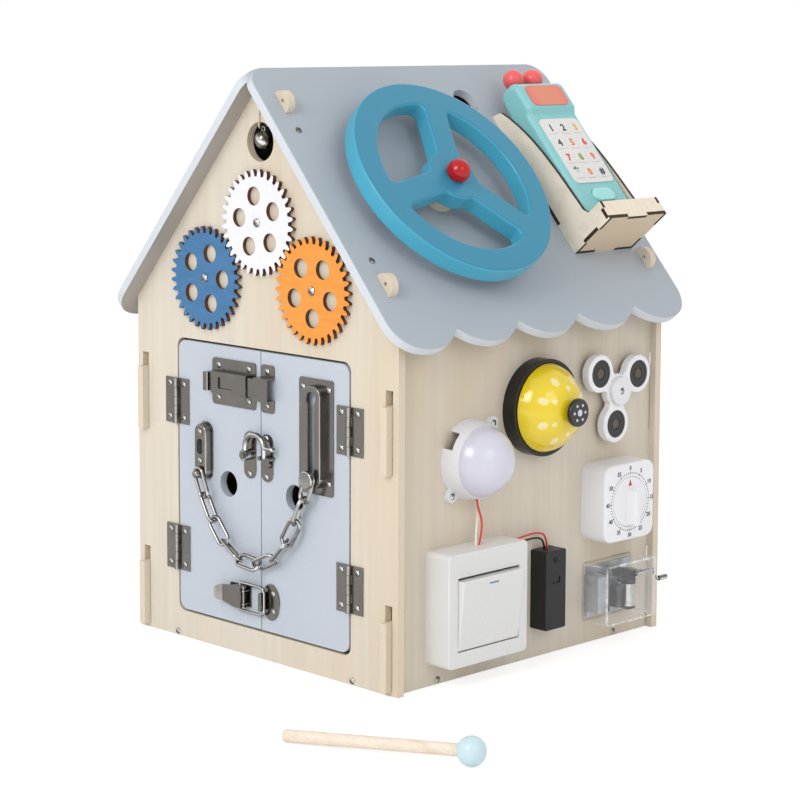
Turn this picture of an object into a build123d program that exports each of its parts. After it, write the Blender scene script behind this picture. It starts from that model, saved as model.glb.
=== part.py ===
from build123d import *
import os
from math import acos, atan, cos, degrees, hypot, pi, radians, sin, sqrt, tan

# An activity house of plywood. The ground is z = 0, the doors face -Y, the wall with the lamp faces +X.
# All sizes are in millimetres, and each side's places are (across, up) on that side.

# House shell
house_width = 300.0
house_depth = 300.0
eave_height = 271.8
ply = 6.5
side_inset = 6.3
roof_pitch = radians(49.45)
roof_ply = 7.2
roof_overhang = 16.0
roof_length = 262.0
roof_edge_round = 1.2
lobe_pitch = 67.5
lobe_drop = 14.5
inner_lobes = 3
cusp_round = 1.6
eave_corner = 26.0
ridge_corner = 18.0
cutter_overrun = 1.0
seat_gap = 0.2
running_gap = 0.08

# Gable tabs that stand through the roof, by their distance down the slope
roof_tab_places = (35.0, 205.0)
roof_tab_width = 19.5
roof_tab_hole_radius = 1.5
roof_tab_hole_height = 3.3
roof_slot_gap = 0.15
roof_screw_places = (60.8, 182.0)
roof_hole_place = (49.5, 38.0)
roof_hole_radius = 11.8

# Side wall tabs that stand through the gables
upper_slot_bottom = 165.0
upper_slot_height = 62.0
upper_tab_height = 50.5
lower_slot_bottom = 3.0
lower_slot_height = 64.5
lower_tab_height = 52.0
wall_slot_gap = 0.6
wall_tab_reach = 6.0

# Screws
floor_screw_offset = 101.7
wood_screw_head = 2.6
wood_screw_shank = 1.2
wood_screw_length = 14.0
gear_screw_head = 3.4
gear_screw_shank = 1.9
gear_screw_length = 9.6
small_screw_head = 2.4
small_screw_shank = 1.1
small_screw_length = 5.0
anchor_screw_length = 11.5
screw_hole_gap = 0.05
head_height_share = 0.56
head_rim_share = 0.35
recess_length_share = 1.15
recess_width_share = 0.3
recess_depth_share = 0.45

# Door opening and doors
opening_half_width = 100.2
opening_bottom = 21.3
opening_top = 243.3
opening_corner = 7.5
door_gap = 1.9
door_split_gap = 1.0
door_corner = 8.0
finger_hole_radius = 10.2
finger_hole_place = (38.4, 132.8)

# Bell holes in the front gable
bell_hole_height = 402.0
bell_hole_radius = 15.15
string_hole_height = 426.4
string_hole_radius = 1.6

# Hinges
metal = 1.0
hinge_x = 99.7
hinge_heights = (192.0, 73.0)
hinge_height = 36.6
hinge_reach = 14.2
hinge_knuckles = 5
knuckle_radius = 2.2
knuckle_gap = 0.3
knuckle_lift = 0.1
hinge_pin_radius = 1.1
leaf_notch = 2.7
hinge_screw_x = 8.6
hinge_screw_z = 13.5

# Slide bolt
bolt_plate_centre = (-30.7, 213.3)
bolt_plate_width = 51.4
bolt_plate_height = 36.6
bolt_corner = 3.0
bolt_screw_x = 17.8
bolt_screw_z = 12.8
bolt_guide_length = 41.0
bolt_bar_height = 14.6
bolt_bar_thickness = 4.6
bolt_bar_left = -59.0
bolt_bar_right = 6.0
bolt_grip_length = 5.6
bolt_grip_lift = 9.0
bolt_slide_gap = 0.3
bolt_window_length = 17.0
bolt_window_height = 9.0
keeper_left = 1.0
keeper_width = 15.2
keeper_height = 37.2
keeper_lift = 8.8
keeper_gap = 0.9
keeper_screw_z = 13.4

# Swing hook
hook_plate_x = -12.2
catch_plate_x = 7.4
hook_plate_z = 159.5
hook_plate_width = 13.6
hook_plate_height = 37.0
hook_screw_z = 15.2
hook_pivot = (-12.2, 160.0)
hook_lift = 5.6
hook_wire = 2.2
hook_rise = 17.0
hook_span = 22.0
hook_drop = 16.2
hook_bend = 10.2
hook_hub_radius = 4.3
hook_hub_top = 8.2
hook_pin_radius = 1.5
hook_tail_drop = 9.0
hook_tail_length = 9.0
hook_tail_tip = 2.6
catch_prong_radius = 1.7
catch_prong_gap = 0.8
catch_prong_height = 7.2
catch_prong_drop = 1.0
catch_saddle_radius = 3.2
catch_saddle_height = 3.0
catch_saddle_drop = 3.5

# Toggle clasp
toggle_z = 47.0
toggle_base_left = -36.0
toggle_base_right = -11.5
toggle_base_height = 17.0
toggle_pivot_x = -16.0
toggle_pivot_lift = 4.8
toggle_pin_radius = 1.2
toggle_ear_offset = 5.2
toggle_ear_half = 2.4
toggle_screw_x = -31.0
toggle_screw_z = 4.5
lever_width = 17.0
lever_tip_width = 13.0
lever_tip_round = 5.5
lever_tip_x = -46.0
lever_curl_x = -39.5
lever_low = 5.0
lever_high = 8.6
lever_curl_lift = 9.6
lever_cheek_left = -26.0
lever_cheek_low = 2.4
loop_offset = 5.0
loop_sink = 0.8
loop_reach = 28.0
loop_half_height = 11.0
loop_wire = 1.2
loop_bend = 4.0
strike_x = 11.5
strike_width = 20.0
strike_height = 28.5
strike_screw_x = 14.6
strike_screw_z = 7.0
strike_hook_height = 14.0
strike_wall_x = 4.2
strike_lip_length = 3.6
strike_lip_lift = 6.6

# Door chain
anchor_centre = (-65.0, 156.0)
anchor_width = 14.0
anchor_height = 44.0
anchor_depth = 7.0
anchor_flange = 1.4
anchor_slot_width = 7.6
anchor_slot_height = 12.0
anchor_slot_rise = 4.0
anchor_screw_rises = (15.5, -7.5)
anchor_edge_round = 1.5
peg_place = (-65.0, 138.6)
peg_radius = 2.2
peg_head_radius = 3.8
peg_length = 3.2
chain_links = 10
link_wire = 1.45
link_width = 12.4
link_pitch = 20.6
link_gap = 0.6
link_twist = 80.0
track_centre = (63.2, 183.4)
track_width = 37.6
track_height = 88.0
track_corner = 2.5
channel_width = 19.6
channel_bottom = 144.5
channel_top = 222.5
channel_lift = 6.5
slot_width = 6.5
slot_bottom = 148.0
keyhole_height = 213.0
keyhole_radius = 5.2
track_screw_x = 14.2
track_screw_drop = 7.6
track_screw_rise = 9.2
track_edge_round = 1.0
slider_height = 151.6
slider_stem_radius = 2.9
slider_flange_radius = 3.9
slider_flange_low = 1.6
slider_flange_high = 5.0
slider_disc_radius = 7.0
slider_disc_low = 10.0
slider_disc_high = 12.8

# Gears
gear_teeth = 32
gear_module = 2.4
gear_pressure = radians(20)
gear_backlash = 0.3
gear_root_depth = 3.0
gear_lift = 0.6
gear_thickness = 3.2
gear_holes = 5
gear_hole_radius = 7.25
gear_hole_ring = 20.5
white_gear_height = 340.5
side_gear_x = 61.5
side_gear_height = 293.3
white_hole_turn = 27.9
blue_hole_turn = 1.4
orange_hole_turn = 54.9
white_tooth_turn = -37.5

# Jingle bell
bell_radius = 6.8
bell_height = 403.4
bell_wall = 0.8
bell_slot = 1.3
bell_slot_drop = 2.0
bell_ring_radius = 1.7
bell_ring_wire = 0.5
bell_ring_sink = 0.6
string_radius = 0.6
string_clearance = 0.5
string_bend = 1.6
string_sink = 0.35

# Steering wheel
wheel_place = (-45.4, 129.3)
wheel_radius = 90.0
wheel_rim_radius = 69.0
wheel_hub_radius = 22.5
wheel_spoke_width = 21.0
wheel_spoke_reach_share = 0.75
wheel_spoke_turns = (72.0, -48.0, -168.0)
wheel_corner = 5.0
wheel_hub_corner = 3.0
wheel_edge_round = 2.0
wheel_thickness = 15.0
spacer_radius = 15.0
spacer_height = 11.8
wheel_gap = 0.3
stud_radius = 3.0
ball_radius = 9.25
ball_rise = 5.0
nut_radius = 6.0
nut_height = 4.0

# Phone stand, in (down the slope, height above it)
stand_left = 69.8
stand_width = 70.2
stand_ply = 3.0
stand_tip = 55.0
stand_end = 193.6
stand_height = 46.6
stand_lip_start = 177.0
stand_outline_shares = ((0.022, 0.19), (0.17, 0.36), (0.42, 0.515), (0.66, 0.585), (0.843, 0.622))
stand_notch_share = 0.69
end_finger_shares = (0.3, 0.68)
back_finger_start_shares = (0.2, 0.66)
back_finger_length_share = 0.14
finger_gap = 0.05

# Toy phone
phone_width = 58.0
phone_low = 3.2
phone_front = 28.0
phone_top = 43.0
phone_bottom = 188.0
phone_head_end = 76.0
phone_head_lift = 32.0
phone_head_slope = 5.0
phone_back_bend = 110.0
phone_back_lift = 11.0
phone_head_round = 8.0
phone_bend_round = 4.0
phone_round = 4.5
keypad_place = 113.5
keypad_width = 47.0
keypad_length = 65.0
keypad_corner = 5.0
keypad_thickness = 0.8
key_columns = 3
key_rows = 4
key_width = 11.0
key_length = 10.5
key_column_pitch = 14.6
key_row_pitch = 15.0
key_corner = 2.5
key_rise = 0.6
home_place = 158.5
home_width = 24.0
home_length = 12.0
home_corner = 5.5
home_rise = 2.2
home_travel = 1.5
home_depth = 3.0
home_gap = 0.3
panel_place = 59.5
panel_width = 43.0
panel_length = 20.0
panel_corner = 5.0
panel_thickness = 0.8
bobble_radius = 8.6
bobble_offset = 11.6
bobble_place = 33.5
bobble_lift = 20.0
bobble_neck = 2.5

# Lamp on the wall, in (along y, up)
lamp_place = (-68.3, 166.8)
lamp_foot_radius = 31.0
lamp_top_radius = 28.0
lamp_height = 15.0
lamp_wall = 2.0
lamp_ear_offset = (22.3, 25.2)
lamp_ear_radius = 5.0
lamp_ear_height = 3.5
lamp_notch_turn = 144.0
lamp_notch_width = 14.5
lamp_notch_height = 8.0
lamp_dome_radius = 27.4
lamp_dome_height = 22.0
lamp_dome_wall = 1.6
led_radius = 5.0
led_height = 5.0

# Wall switch
switch_place = (-72.0, 60.0)
switch_size = 86.0
switch_depth = 24.5
switch_corner = 4.0
switch_wall = 2.2
switch_collar = 4.0
switch_collar_depth = 8.0
rocker_width = 66.0
rocker_height = 54.0
rocker_drop = 3.0
rocker_gap = 0.45
rocker_side_gap = 0.4
rocker_tilt = 6.4
rocker_proud = 3.0
rocker_pivot_depth = 6.0
rocker_depth = 9.0
rocker_taper = 1.0
rocker_pin_radius = 1.5
rocker_pin_length = 2.6

# Leads
lead_radius = 0.8
lead_hole_gap = 0.25
lead_hole_reach = 5.0
lead_bend_share = 0.45

# Battery box
battery_place = (13.2, 55.2)
battery_width = 23.6
battery_height = 62.4
battery_depth = 16.0
battery_wall = 1.6
battery_cover_thickness = 2.0
battery_corner = 1.5
cover_thumb_width = 10.0
cover_thumb_height = 5.0
cover_thumb_depth = 0.8
cover_thumb_rise = 8.0
cover_screw_drop = 7.5
cover_screw_length = 1.6

# Call bell
call_place = (5.3, 198.7)
call_base_radius = 37.7
call_base_height = 12.0
call_base_wall = 3.0
call_base_floor = 3.0
call_dome_radius = 34.4
call_dome_height = 25.4
call_dome_wall = 1.2
call_gap = 0.3
call_post_radius = 5.0
call_bore_low = 18.0
call_stem_radius = 2.4
call_stem_low = 22.0
call_knob_radius = 11.0
call_knob_low = 40.8
call_knob_height = 4.4
call_knob_round = 1.6

# Spinner
spinner_place = (91.9, 202.7)
spinner_arm = 26.7
spinner_turns = (24.5, 144.5, 264.5)
spinner_lobe_radius = 15.2
spinner_hub_radius = 13.5
spinner_neck = 17.0
spinner_fillet = 7.0
spinner_low = 3.4
spinner_high = 11.0
spinner_edge_round = 1.5
weight_radius = 11.0
weight_core_radius = 4.0
weight_sink = 0.6
weight_groove = 0.7
weight_fit = 0.05
spinner_axle_radius = 4.0
spinner_foot_radius = 6.5
spinner_cap_radius = 11.5
spinner_cap_height = 3.4
spinner_gap = 0.3
spinner_screw_recess = 2.9
spinner_screw_depth = 1.2
spinner_screw_length = 19.0

# Kitchen timer
timer_place = (91.0, 115.2)
timer_width = 60.4
timer_height = 62.0
timer_depth = 24.8
timer_corner = 9.0
timer_edge_round = 2.2
timer_wall = 2.4
timer_disc_radius = 20.0
timer_disc_gap = 0.4
timer_recess = 1.8
timer_disc_thickness = 1.6
timer_bar_length = 29.0
timer_bar_drop = 4.5
timer_bar_width = 6.8
timer_bar_top = 33.6
timer_bar_round = 2.0
timer_shaft_radius = 4.0
timer_shaft_length = 12.0
timer_hub_radius = 7.0

# Music box
music_place = (93.0, 42.0)
music_width = 60.0
music_height = 48.0
music_depth = 26.0
music_wall = 1.6
music_corner = 3.0
music_plate_thickness = 2.0
music_plate_margin = 4.0
drum_y = 108.0
drum_lift = 10.6
drum_radius = 6.0
drum_low = 26.0
drum_height = 18.0
drum_axle = 1.2
drum_end_gap = 0.3
drum_wheel_radius = 7.0
drum_wheel_height = 2.0
bearing_width = 8.0
bearing_height = 2.4
comb_y = 96.5
comb_width = 6.0
comb_teeth = 9
comb_tooth_share = 0.72
comb_gap = 0.5
comb_thickness = 1.2
governor_place = (73.0, 41.0)
governor_width = 15.0
governor_height = 30.0
governor_depth = 15.0
crank_z = 54.2
crank_lift = 20.4
crank_radius = 1.2
crank_inner_y = 97.4
crank_bend_y = 126.5
crank_drop = (6.0, -9.0)
crank_grip_y = 134.0
crank_grip_length = 10.0
crank_grip_radius = 2.1
crank_worm_radius = 2.4
crank_worm_length = 7.0
crank_bracket = 2.4
crank_bend = 1.6

# Mallet on the ground
mallet_tip = (169.2, -279.6)
mallet_ball = (295.7, -225.2)
mallet_ball_radius = 10.3
mallet_stick_radius = 4.5
mallet_socket = 5.0

# Worked out from the sizes above
half_width = house_width / 2
half_depth = house_depth / 2
wall_x = half_width - side_inset
apex = eave_height + half_width * tan(roof_pitch)
ridge_top = apex + roof_ply / cos(roof_pitch)
half_roof = half_depth + roof_overhang
cusp_place = roof_length - lobe_drop
wall_top = eave_height + side_inset * tan(roof_pitch) - seat_gap
gable_centre = half_depth - ply / 2
door_edge = opening_half_width - door_gap
door_bottom = opening_bottom + door_gap
door_top = opening_top - door_gap
finger_hole_x, finger_hole_z = finger_hole_place
wheel_y, wheel_s = wheel_place
wheel_low = spacer_height + wheel_gap
wheel_top = wheel_low + wheel_thickness
stand_middle = stand_left + stand_width / 2
os.makedirs("parts", exist_ok=True)


def front_face(lift=0.0):
    """A plane in front of the gable: local x is x, local y is z."""
    return Plane.XZ.offset(half_depth + lift)


def back_face(lift=0.0):
    """The same behind the back gable: local x is -x, local y is z."""
    return Plane(origin=(0, half_depth + lift, 0), x_dir=(-1, 0, 0), z_dir=(0, 1, 0))


def wall_face(lift=0.0):
    """A plane off the right wall: local x is y, local y is z."""
    return Plane.YZ.offset(wall_x + lift)


def left_face(lift=0.0):
    """A plane off the left wall: local x is -y, local y is z."""
    return Plane(origin=(-wall_x - lift, 0, 0), x_dir=(0, -1, 0), z_dir=(-1, 0, 0))


def slope_face(side=1, lift=0.0):
    """A plane off a roof slope: local x is y, and local y is -side times the way down from the ridge."""
    up = Vector(side * sin(roof_pitch), 0, cos(roof_pitch))
    return Plane(origin=Vector(0, 0, ridge_top) + up * lift, x_dir=(0, 1, 0), z_dir=up)


def slope_section(y):
    """A section across the right slope: local x is the way down, local y the height above the roof."""
    down = (cos(roof_pitch), 0, -sin(roof_pitch))
    return Plane(origin=(0, y, ridge_top), x_dir=down, z_dir=(0, -1, 0))


def front_level(z):
    """A level plane at the front: local x is x, local y the lift off the gable."""
    return Plane(origin=(0, -half_depth, z), x_dir=(1, 0, 0), z_dir=(0, 0, -1))


def wall_upright(y):
    """An upright plane off the right wall: local x is z, local y the lift off the wall."""
    return Plane(origin=(wall_x, y, 0), x_dir=(0, 0, 1), z_dir=(0, 1, 0))


def at(base, across, up, lift=0.0):
    """A plane like a base plane, with its origin at a place on it."""
    return Plane(origin=base.from_local_coords((across, up, lift)), x_dir=base.x_dir, z_dir=base.z_dir)


def spots(base, points):
    """Places on a plane, as locations."""
    return [at(base, across, up).location for across, up in points]


def drill(base, points, radius, depth):
    """Bore round holes below places on a plane into the open part."""
    with Locations(*spots(base, points)):
        Hole(radius, depth)


def drive(screw, base, points):
    """Put a screw at places on a plane into the open part."""
    with Locations(*spots(base, points)):
        add(screw)


def boss(base, across, up, low, high, radius, mode=Mode.ADD):
    """A cylinder that stands on a base plane's normal, from one lift to another."""
    with BuildSketch(at(base, across, up, low)) as disc:
        Circle(radius)
    extrude(disc.sketch, amount=high - low, mode=mode)


def block(base, across, up, low, high, width, height, corner=0.0, mode=Mode.ADD):
    """A box on a base plane, centred on a place, from one lift to another."""
    with BuildSketch(at(base, across, up, low)) as outline:
        if corner:
            RectangleRounded(width, height, corner)
        else:
            Rectangle(width, height)
    extrude(outline.sketch, amount=high - low, mode=mode)


def turned(base, outline, mode=Mode.ADD):
    """Turn a closed outline of (radius, lift) points about a base plane's normal."""
    with BuildSketch(Plane(origin=base.origin, x_dir=base.x_dir, z_dir=-base.y_dir)) as section:
        with BuildLine():
            Polyline(*outline, close=True)
        make_face()
    revolve(section.sketch, axis=Axis(base.origin, base.z_dir), mode=mode)


def dome(base, radius, height, wall, bore=0.0):
    """A shell cut from a sphere, open below, with an optional bore at its top."""
    sphere = (radius**2 + height**2) / (2 * height)
    with BuildSketch(Plane(origin=base.origin, x_dir=base.x_dir, z_dir=-base.y_dir)) as section:
        with Locations((0, height - sphere)):
            Circle(sphere)
            Circle(sphere - wall, mode=Mode.SUBTRACT)
        with Locations((bore, 0)):
            Rectangle(2 * radius, 2 * height, align=(Align.MIN, Align.MIN), mode=Mode.INTERSECT)
    revolve(section.sketch, axis=Axis(base.origin, base.z_dir))


def rod(points, radius, bends=0.0, mode=Mode.ADD):
    """A round rod along a path with rounded corners, in the open part."""
    with BuildLine() as path:
        if len(points) == 2:
            Line(*points)
        else:
            FilletPolyline(*points, radius=bends)
    route = path.wires()[0]
    with BuildSketch(Plane(origin=route @ 0, z_dir=route % 0)) as section:
        Circle(radius)
    sweep(section.sketch, path=route, mode=mode)


def save(piece, name):
    """Label a finished piece and write it."""
    piece.part.label = name
    export_step(piece.part, f"parts/{name}.step")


def cross_screw(head_radius, shank_radius, shank_length):
    """A domed cross-recess screw: its head stands on the XY plane, its shank goes down."""
    head_height = head_radius * head_height_share
    rim = head_height * head_rim_share
    crown = head_height - rim
    crown_radius = (head_radius**2 + crown**2) / (2 * crown)
    with BuildPart() as one_screw:
        with BuildSketch(Plane.XZ):
            with BuildLine():
                Polyline(
                    (0, head_height),
                    (0, -shank_length),
                    (shank_radius, shank_radius - shank_length),
                    (shank_radius, 0),
                    (head_radius, 0),
                    (head_radius, rim),
                )
                RadiusArc((head_radius, rim), (0, head_height), -crown_radius)
            make_face()
        revolve(axis=Axis.Z)
        with BuildSketch(Plane.XY.offset(head_height)):
            Rectangle(head_radius * recess_length_share, head_radius * recess_width_share)
            Rectangle(head_radius * recess_width_share, head_radius * recess_length_share)
        extrude(amount=-head_height * recess_depth_share, mode=Mode.SUBTRACT)
    return one_screw.part


wood_screw = cross_screw(wood_screw_head, wood_screw_shank, wood_screw_length)
gear_screw = cross_screw(gear_screw_head, gear_screw_shank, gear_screw_length)
small_screw = cross_screw(small_screw_head, small_screw_shank, small_screw_length)
anchor_screw = cross_screw(small_screw_head, small_screw_shank, anchor_screw_length)
spinner_screw = cross_screw(small_screw_head, wood_screw_shank, spinner_screw_length)
wood_hole = wood_screw_shank + screw_hole_gap
small_hole = small_screw_shank + screw_hole_gap
gear_hole = gear_screw_shank + screw_hole_gap

# Where the screws go
floor_screws = [(side * floor_screw_offset, ply / 2) for side in (-1, 1)]
gear_places = [(0, white_gear_height), (-side_gear_x, side_gear_height), (side_gear_x, side_gear_height)]
frame_leaf_screws = [
    (side * (hinge_x + hinge_screw_x), height + end * hinge_screw_z)
    for side in (-1, 1)
    for height in hinge_heights
    for end in (-1, 1)
]
door_leaf_screws = [
    (hinge_x - hinge_screw_x, height + end * hinge_screw_z) for height in hinge_heights for end in (-1, 1)
]
left_leaf_screws = [(-across, up) for across, up in door_leaf_screws]
bolt_x, bolt_z = bolt_plate_centre
bolt_screws = [
    (bolt_x + side * bolt_screw_x, bolt_z + end * bolt_screw_z) for side in (-1, 1) for end in (-1, 1)
]
keeper_x = keeper_left + keeper_width / 2
keeper_screws = [(keeper_x, bolt_z + end * keeper_screw_z) for end in (-1, 1)]
hook_screws = [(hook_plate_x, hook_plate_z + end * hook_screw_z) for end in (-1, 1)]
catch_screws = [(catch_plate_x, hook_plate_z + end * hook_screw_z) for end in (-1, 1)]
toggle_screws = [(toggle_screw_x, toggle_z + end * toggle_screw_z) for end in (-1, 1)]
strike_screws = [(strike_screw_x, toggle_z + end * strike_screw_z) for end in (-1, 1)]
anchor_x, anchor_z = anchor_centre
anchor_screws = [(anchor_x, anchor_z + rise) for rise in anchor_screw_rises]
track_x, track_z = track_centre
track_screw_top = track_z + track_height / 2 - track_screw_drop
track_screw_bottom = track_z - track_height / 2 + track_screw_rise
track_screws = [
    (track_x + side * track_screw_x, height)
    for side in (-1, 1)
    for height in (track_screw_top, track_screw_bottom)
]
lamp_y, lamp_z = lamp_place
lamp_ear_y, lamp_ear_z = lamp_ear_offset
lamp_screws = [(lamp_y + side * lamp_ear_y, lamp_z + side * lamp_ear_z) for side in (-1, 1)]
spinner_screw_seat = spinner_high + spinner_gap + spinner_cap_height - spinner_screw_depth
left_door_holes = left_leaf_screws + bolt_screws + hook_screws + toggle_screws
right_door_holes = door_leaf_screws + keeper_screws + catch_screws + strike_screws + track_screws


def roof_screws(side):
    """The places of the screws along both gables on one slope."""
    return [(end * gable_centre, -side * place) for end in (-1, 1) for place in roof_screw_places]


# Gables
with BuildPart() as gable:
    with BuildSketch(front_face()):
        with BuildLine():
            Polyline(
                (-half_width, 0),
                (half_width, 0),
                (half_width, eave_height),
                (0, apex),
                (-half_width, eave_height),
                close=True,
            )
        make_face()
        for side in (-1, 1):
            for place in roof_tab_places:
                tab = (side * place * cos(roof_pitch), ridge_top - place * sin(roof_pitch), 0)
                with Locations(Location(tab, (0, 0, -side * degrees(roof_pitch)))):
                    Circle(roof_tab_width / 2)
                    Rectangle(roof_tab_width, roof_ply + cutter_overrun, align=(Align.CENTER, Align.MAX))
                    with Locations((0, roof_tab_hole_height)):
                        Circle(roof_tab_hole_radius, mode=Mode.SUBTRACT)
            for bottom, height in (
                (upper_slot_bottom, upper_slot_height),
                (lower_slot_bottom, lower_slot_height),
            ):
                with Locations((side * (wall_x - ply / 2), bottom + height / 2)):
                    Rectangle(ply + 2 * wall_slot_gap, height, mode=Mode.SUBTRACT)
    extrude(amount=-ply)
    drill(front_face(), floor_screws, wood_hole, 2 * ply)
    for side in (-1, 1):
        front_screws = [place for place in roof_screws(side) if place[0] < 0]
        drill(slope_face(side), front_screws, wood_hole, wood_screw_length + seat_gap)

with BuildPart() as back_panel:
    add(gable.part)
    mirror(about=Plane.XZ, mode=Mode.REPLACE)
save(back_panel, "back_panel")

with BuildPart() as front_panel:
    add(gable.part)
    with BuildSketch(front_face()):
        with Locations((0, (opening_bottom + opening_top) / 2)):
            RectangleRounded(2 * opening_half_width, opening_top - opening_bottom, opening_corner)
        with Locations((0, bell_hole_height)):
            Circle(bell_hole_radius)
        with Locations((0, string_hole_height)):
            Circle(string_hole_radius)
    extrude(amount=-ply, mode=Mode.SUBTRACT)
    drill(front_face(), frame_leaf_screws, small_hole, small_screw_length)
    drill(front_face(), gear_places, gear_hole, 2 * ply)
save(front_panel, "front_panel")

# Side walls and floor
with BuildPart() as side_wall:
    with BuildSketch(wall_face()):
        Rectangle(house_depth - 2 * ply, wall_top, align=(Align.CENTER, Align.MIN))
        reach = 2 * (half_depth + wall_tab_reach)
        for bottom, height in ((upper_slot_bottom, upper_tab_height), (lower_slot_bottom, lower_tab_height)):
            with Locations((0, bottom + seat_gap)):
                Rectangle(reach, height - seat_gap, align=(Align.CENTER, Align.MIN))
    extrude(amount=-ply)
    drill(wall_face(), floor_screws, wood_hole, 2 * ply)

with BuildPart() as left_side_panel:
    add(side_wall.part)
    mirror(about=Plane.YZ, mode=Mode.REPLACE)
save(left_side_panel, "left_side_panel")

with BuildPart() as right_side_panel:
    add(side_wall.part)
    drill(wall_face(), lamp_screws, wood_hole, wood_screw_length)
    drill(wall_face(), [spinner_place], wood_hole, wood_screw_length)
save(right_side_panel, "right_side_panel")

with BuildPart() as floor_panel:
    Box(2 * (wall_x - ply), house_depth - 2 * ply, ply, align=(Align.CENTER, Align.CENTER, Align.MIN))
    for face in (front_face(-ply), back_face(-ply), wall_face(-ply), left_face(-ply)):
        drill(face, floor_screws, wood_hole, wood_screw_length - ply + seat_gap)
save(floor_panel, "floor_panel")

# Roof slabs, mitred at the ridge, with scalloped eaves
outer_cusp = inner_lobes * lobe_pitch / 2
with BuildPart() as slab:
    with BuildSketch(slope_face()):
        with BuildLine():
            Polyline((-half_roof, -cusp_place), (-half_roof, 0), (half_roof, 0), (half_roof, -cusp_place))
            for side in (-1, 1):
                ThreePointArc(
                    (side * half_roof, -cusp_place),
                    (side * (half_roof + outer_cusp) / 2, -roof_length),
                    (side * outer_cusp, -cusp_place),
                )
            for lobe in range(inner_lobes):
                start = outer_cusp - lobe * lobe_pitch
                ThreePointArc(
                    (start, -cusp_place),
                    (start - lobe_pitch / 2, -roof_length),
                    (start - lobe_pitch, -cusp_place),
                )
        make_face()
        ends = [corner for corner in vertices() if abs(corner.X) > half_roof - cutter_overrun]
        fillet([corner for corner in ends if corner.Y > -cutter_overrun], ridge_corner)
        ends = [corner for corner in vertices() if abs(corner.X) > half_roof - cutter_overrun]
        fillet([corner for corner in ends if abs(corner.Y + cusp_place) < cutter_overrun], eave_corner)
        cusps = [corner for corner in vertices() if abs(corner.X) < outer_cusp + cutter_overrun]
        fillet(cusps, cusp_round)
    extrude(amount=-roof_ply)
    upper_face = faces().filter_by(Axis(slope_face().origin, slope_face().z_dir)).sort_by(Axis.Z)[-1]
    fillet(upper_face.edges(), roof_edge_round)
    split(bisect_by=Plane.YZ, keep=Keep.TOP)
    for end in (-1, 1):
        for place in roof_tab_places:
            slot_width = ply + 2 * roof_slot_gap
            slot_length = roof_tab_width + 2 * roof_slot_gap
            block(slope_face(), end * gable_centre, -place, -2 * roof_ply, roof_ply, slot_width, slot_length,
                  mode=Mode.SUBTRACT)
    drill(slope_face(), roof_screws(1), wood_hole, 2 * roof_ply)

with BuildPart() as left_roof_panel:
    add(slab.part)
    mirror(about=Plane.YZ, mode=Mode.REPLACE)
save(left_roof_panel, "left_roof_panel")

with BuildPart() as right_roof_panel:
    add(slab.part)
    hole_y, hole_s = roof_hole_place
    drill(slope_face(), [(hole_y, -hole_s)], roof_hole_radius, 2 * roof_ply)
    drill(slope_face(), [(wheel_y, -wheel_s)], stud_radius + running_gap, 2 * roof_ply)
save(right_roof_panel, "right_roof_panel")

with BuildPart() as house_screws:
    for face in (front_face(), back_face(), wall_face(), left_face()):
        drive(wood_screw, face, floor_screws)
    for side in (-1, 1):
        drive(wood_screw, slope_face(side), roof_screws(side))
    drive(gear_screw, front_face(gear_lift + gear_thickness + seat_gap), gear_places)
    drive(small_screw, front_face(metal), frame_leaf_screws)
    drive(wood_screw, wall_face(lamp_ear_height), lamp_screws)
    drive(spinner_screw, wall_face(spinner_screw_seat), [spinner_place])
save(house_screws, "house_screws")


# Doors
def door(side):
    """One door board with its rounded outer corners and its finger hole."""
    with BuildPart() as board:
        with BuildSketch(front_face()):
            with Locations((side * (door_edge + door_split_gap / 2) / 2, (door_top + door_bottom) / 2)):
                Rectangle(door_edge - door_split_gap / 2, door_top - door_bottom)
            fillet([corner for corner in vertices() if side * corner.X > door_edge / 2], door_corner)
            with Locations((side * finger_hole_x, finger_hole_z)):
                Circle(finger_hole_radius, mode=Mode.SUBTRACT)
        extrude(amount=-ply)
    return board.part


with BuildPart() as left_door:
    add(door(-1))
    drill(front_face(), left_door_holes, small_hole, small_screw_length)
    drill(front_face(), anchor_screws, small_hole, small_screw_length)
save(left_door, "left_door")

with BuildPart() as right_door:
    add(door(1))
    drill(front_face(), right_door_holes, small_hole, small_screw_length)
save(right_door, "right_door")

# Hinges: the frame leaves carry the pins and every other knuckle
hinge_axis_y = -half_depth - knuckle_radius - knuckle_lift
knuckle_pitch = hinge_height / hinge_knuckles


def knuckle(height, index, radius, length):
    """A cylinder on the hinge's axis, at one of its knuckles."""
    middle = height - hinge_height / 2 + (index + 1 / 2) * knuckle_pitch
    with BuildSketch(Plane(origin=(hinge_x, hinge_axis_y, middle - length / 2))) as disc:
        Circle(radius)
    extrude(disc.sketch, amount=length)


def leaf(height, side, knuckles):
    """A hinge leaf on one side of the axis, with its own knuckles."""
    plate = hinge_reach - leaf_notch
    block(front_face(), hinge_x + side * (leaf_notch + plate / 2), height, 0, metal, plate, hinge_height)
    for index in knuckles:
        middle = height - hinge_height / 2 + (index + 1 / 2) * knuckle_pitch
        strap = knuckle_pitch - knuckle_gap
        block(front_face(), hinge_x + side * leaf_notch / 2, middle, 0, metal, leaf_notch, strap)
        knuckle(height, index, knuckle_radius, strap)


with BuildPart() as frame_hinge_leaves:
    for height in hinge_heights:
        leaf(height, 1, range(0, hinge_knuckles, 2))
        knuckle(height, (hinge_knuckles - 1) / 2, hinge_pin_radius, hinge_height)
    drill(front_face(metal), [p for p in frame_leaf_screws if p[0] > 0], small_hole, 2 * metal)
    mirror(about=Plane.YZ)
save(frame_hinge_leaves, "frame_hinge_leaves")

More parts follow.
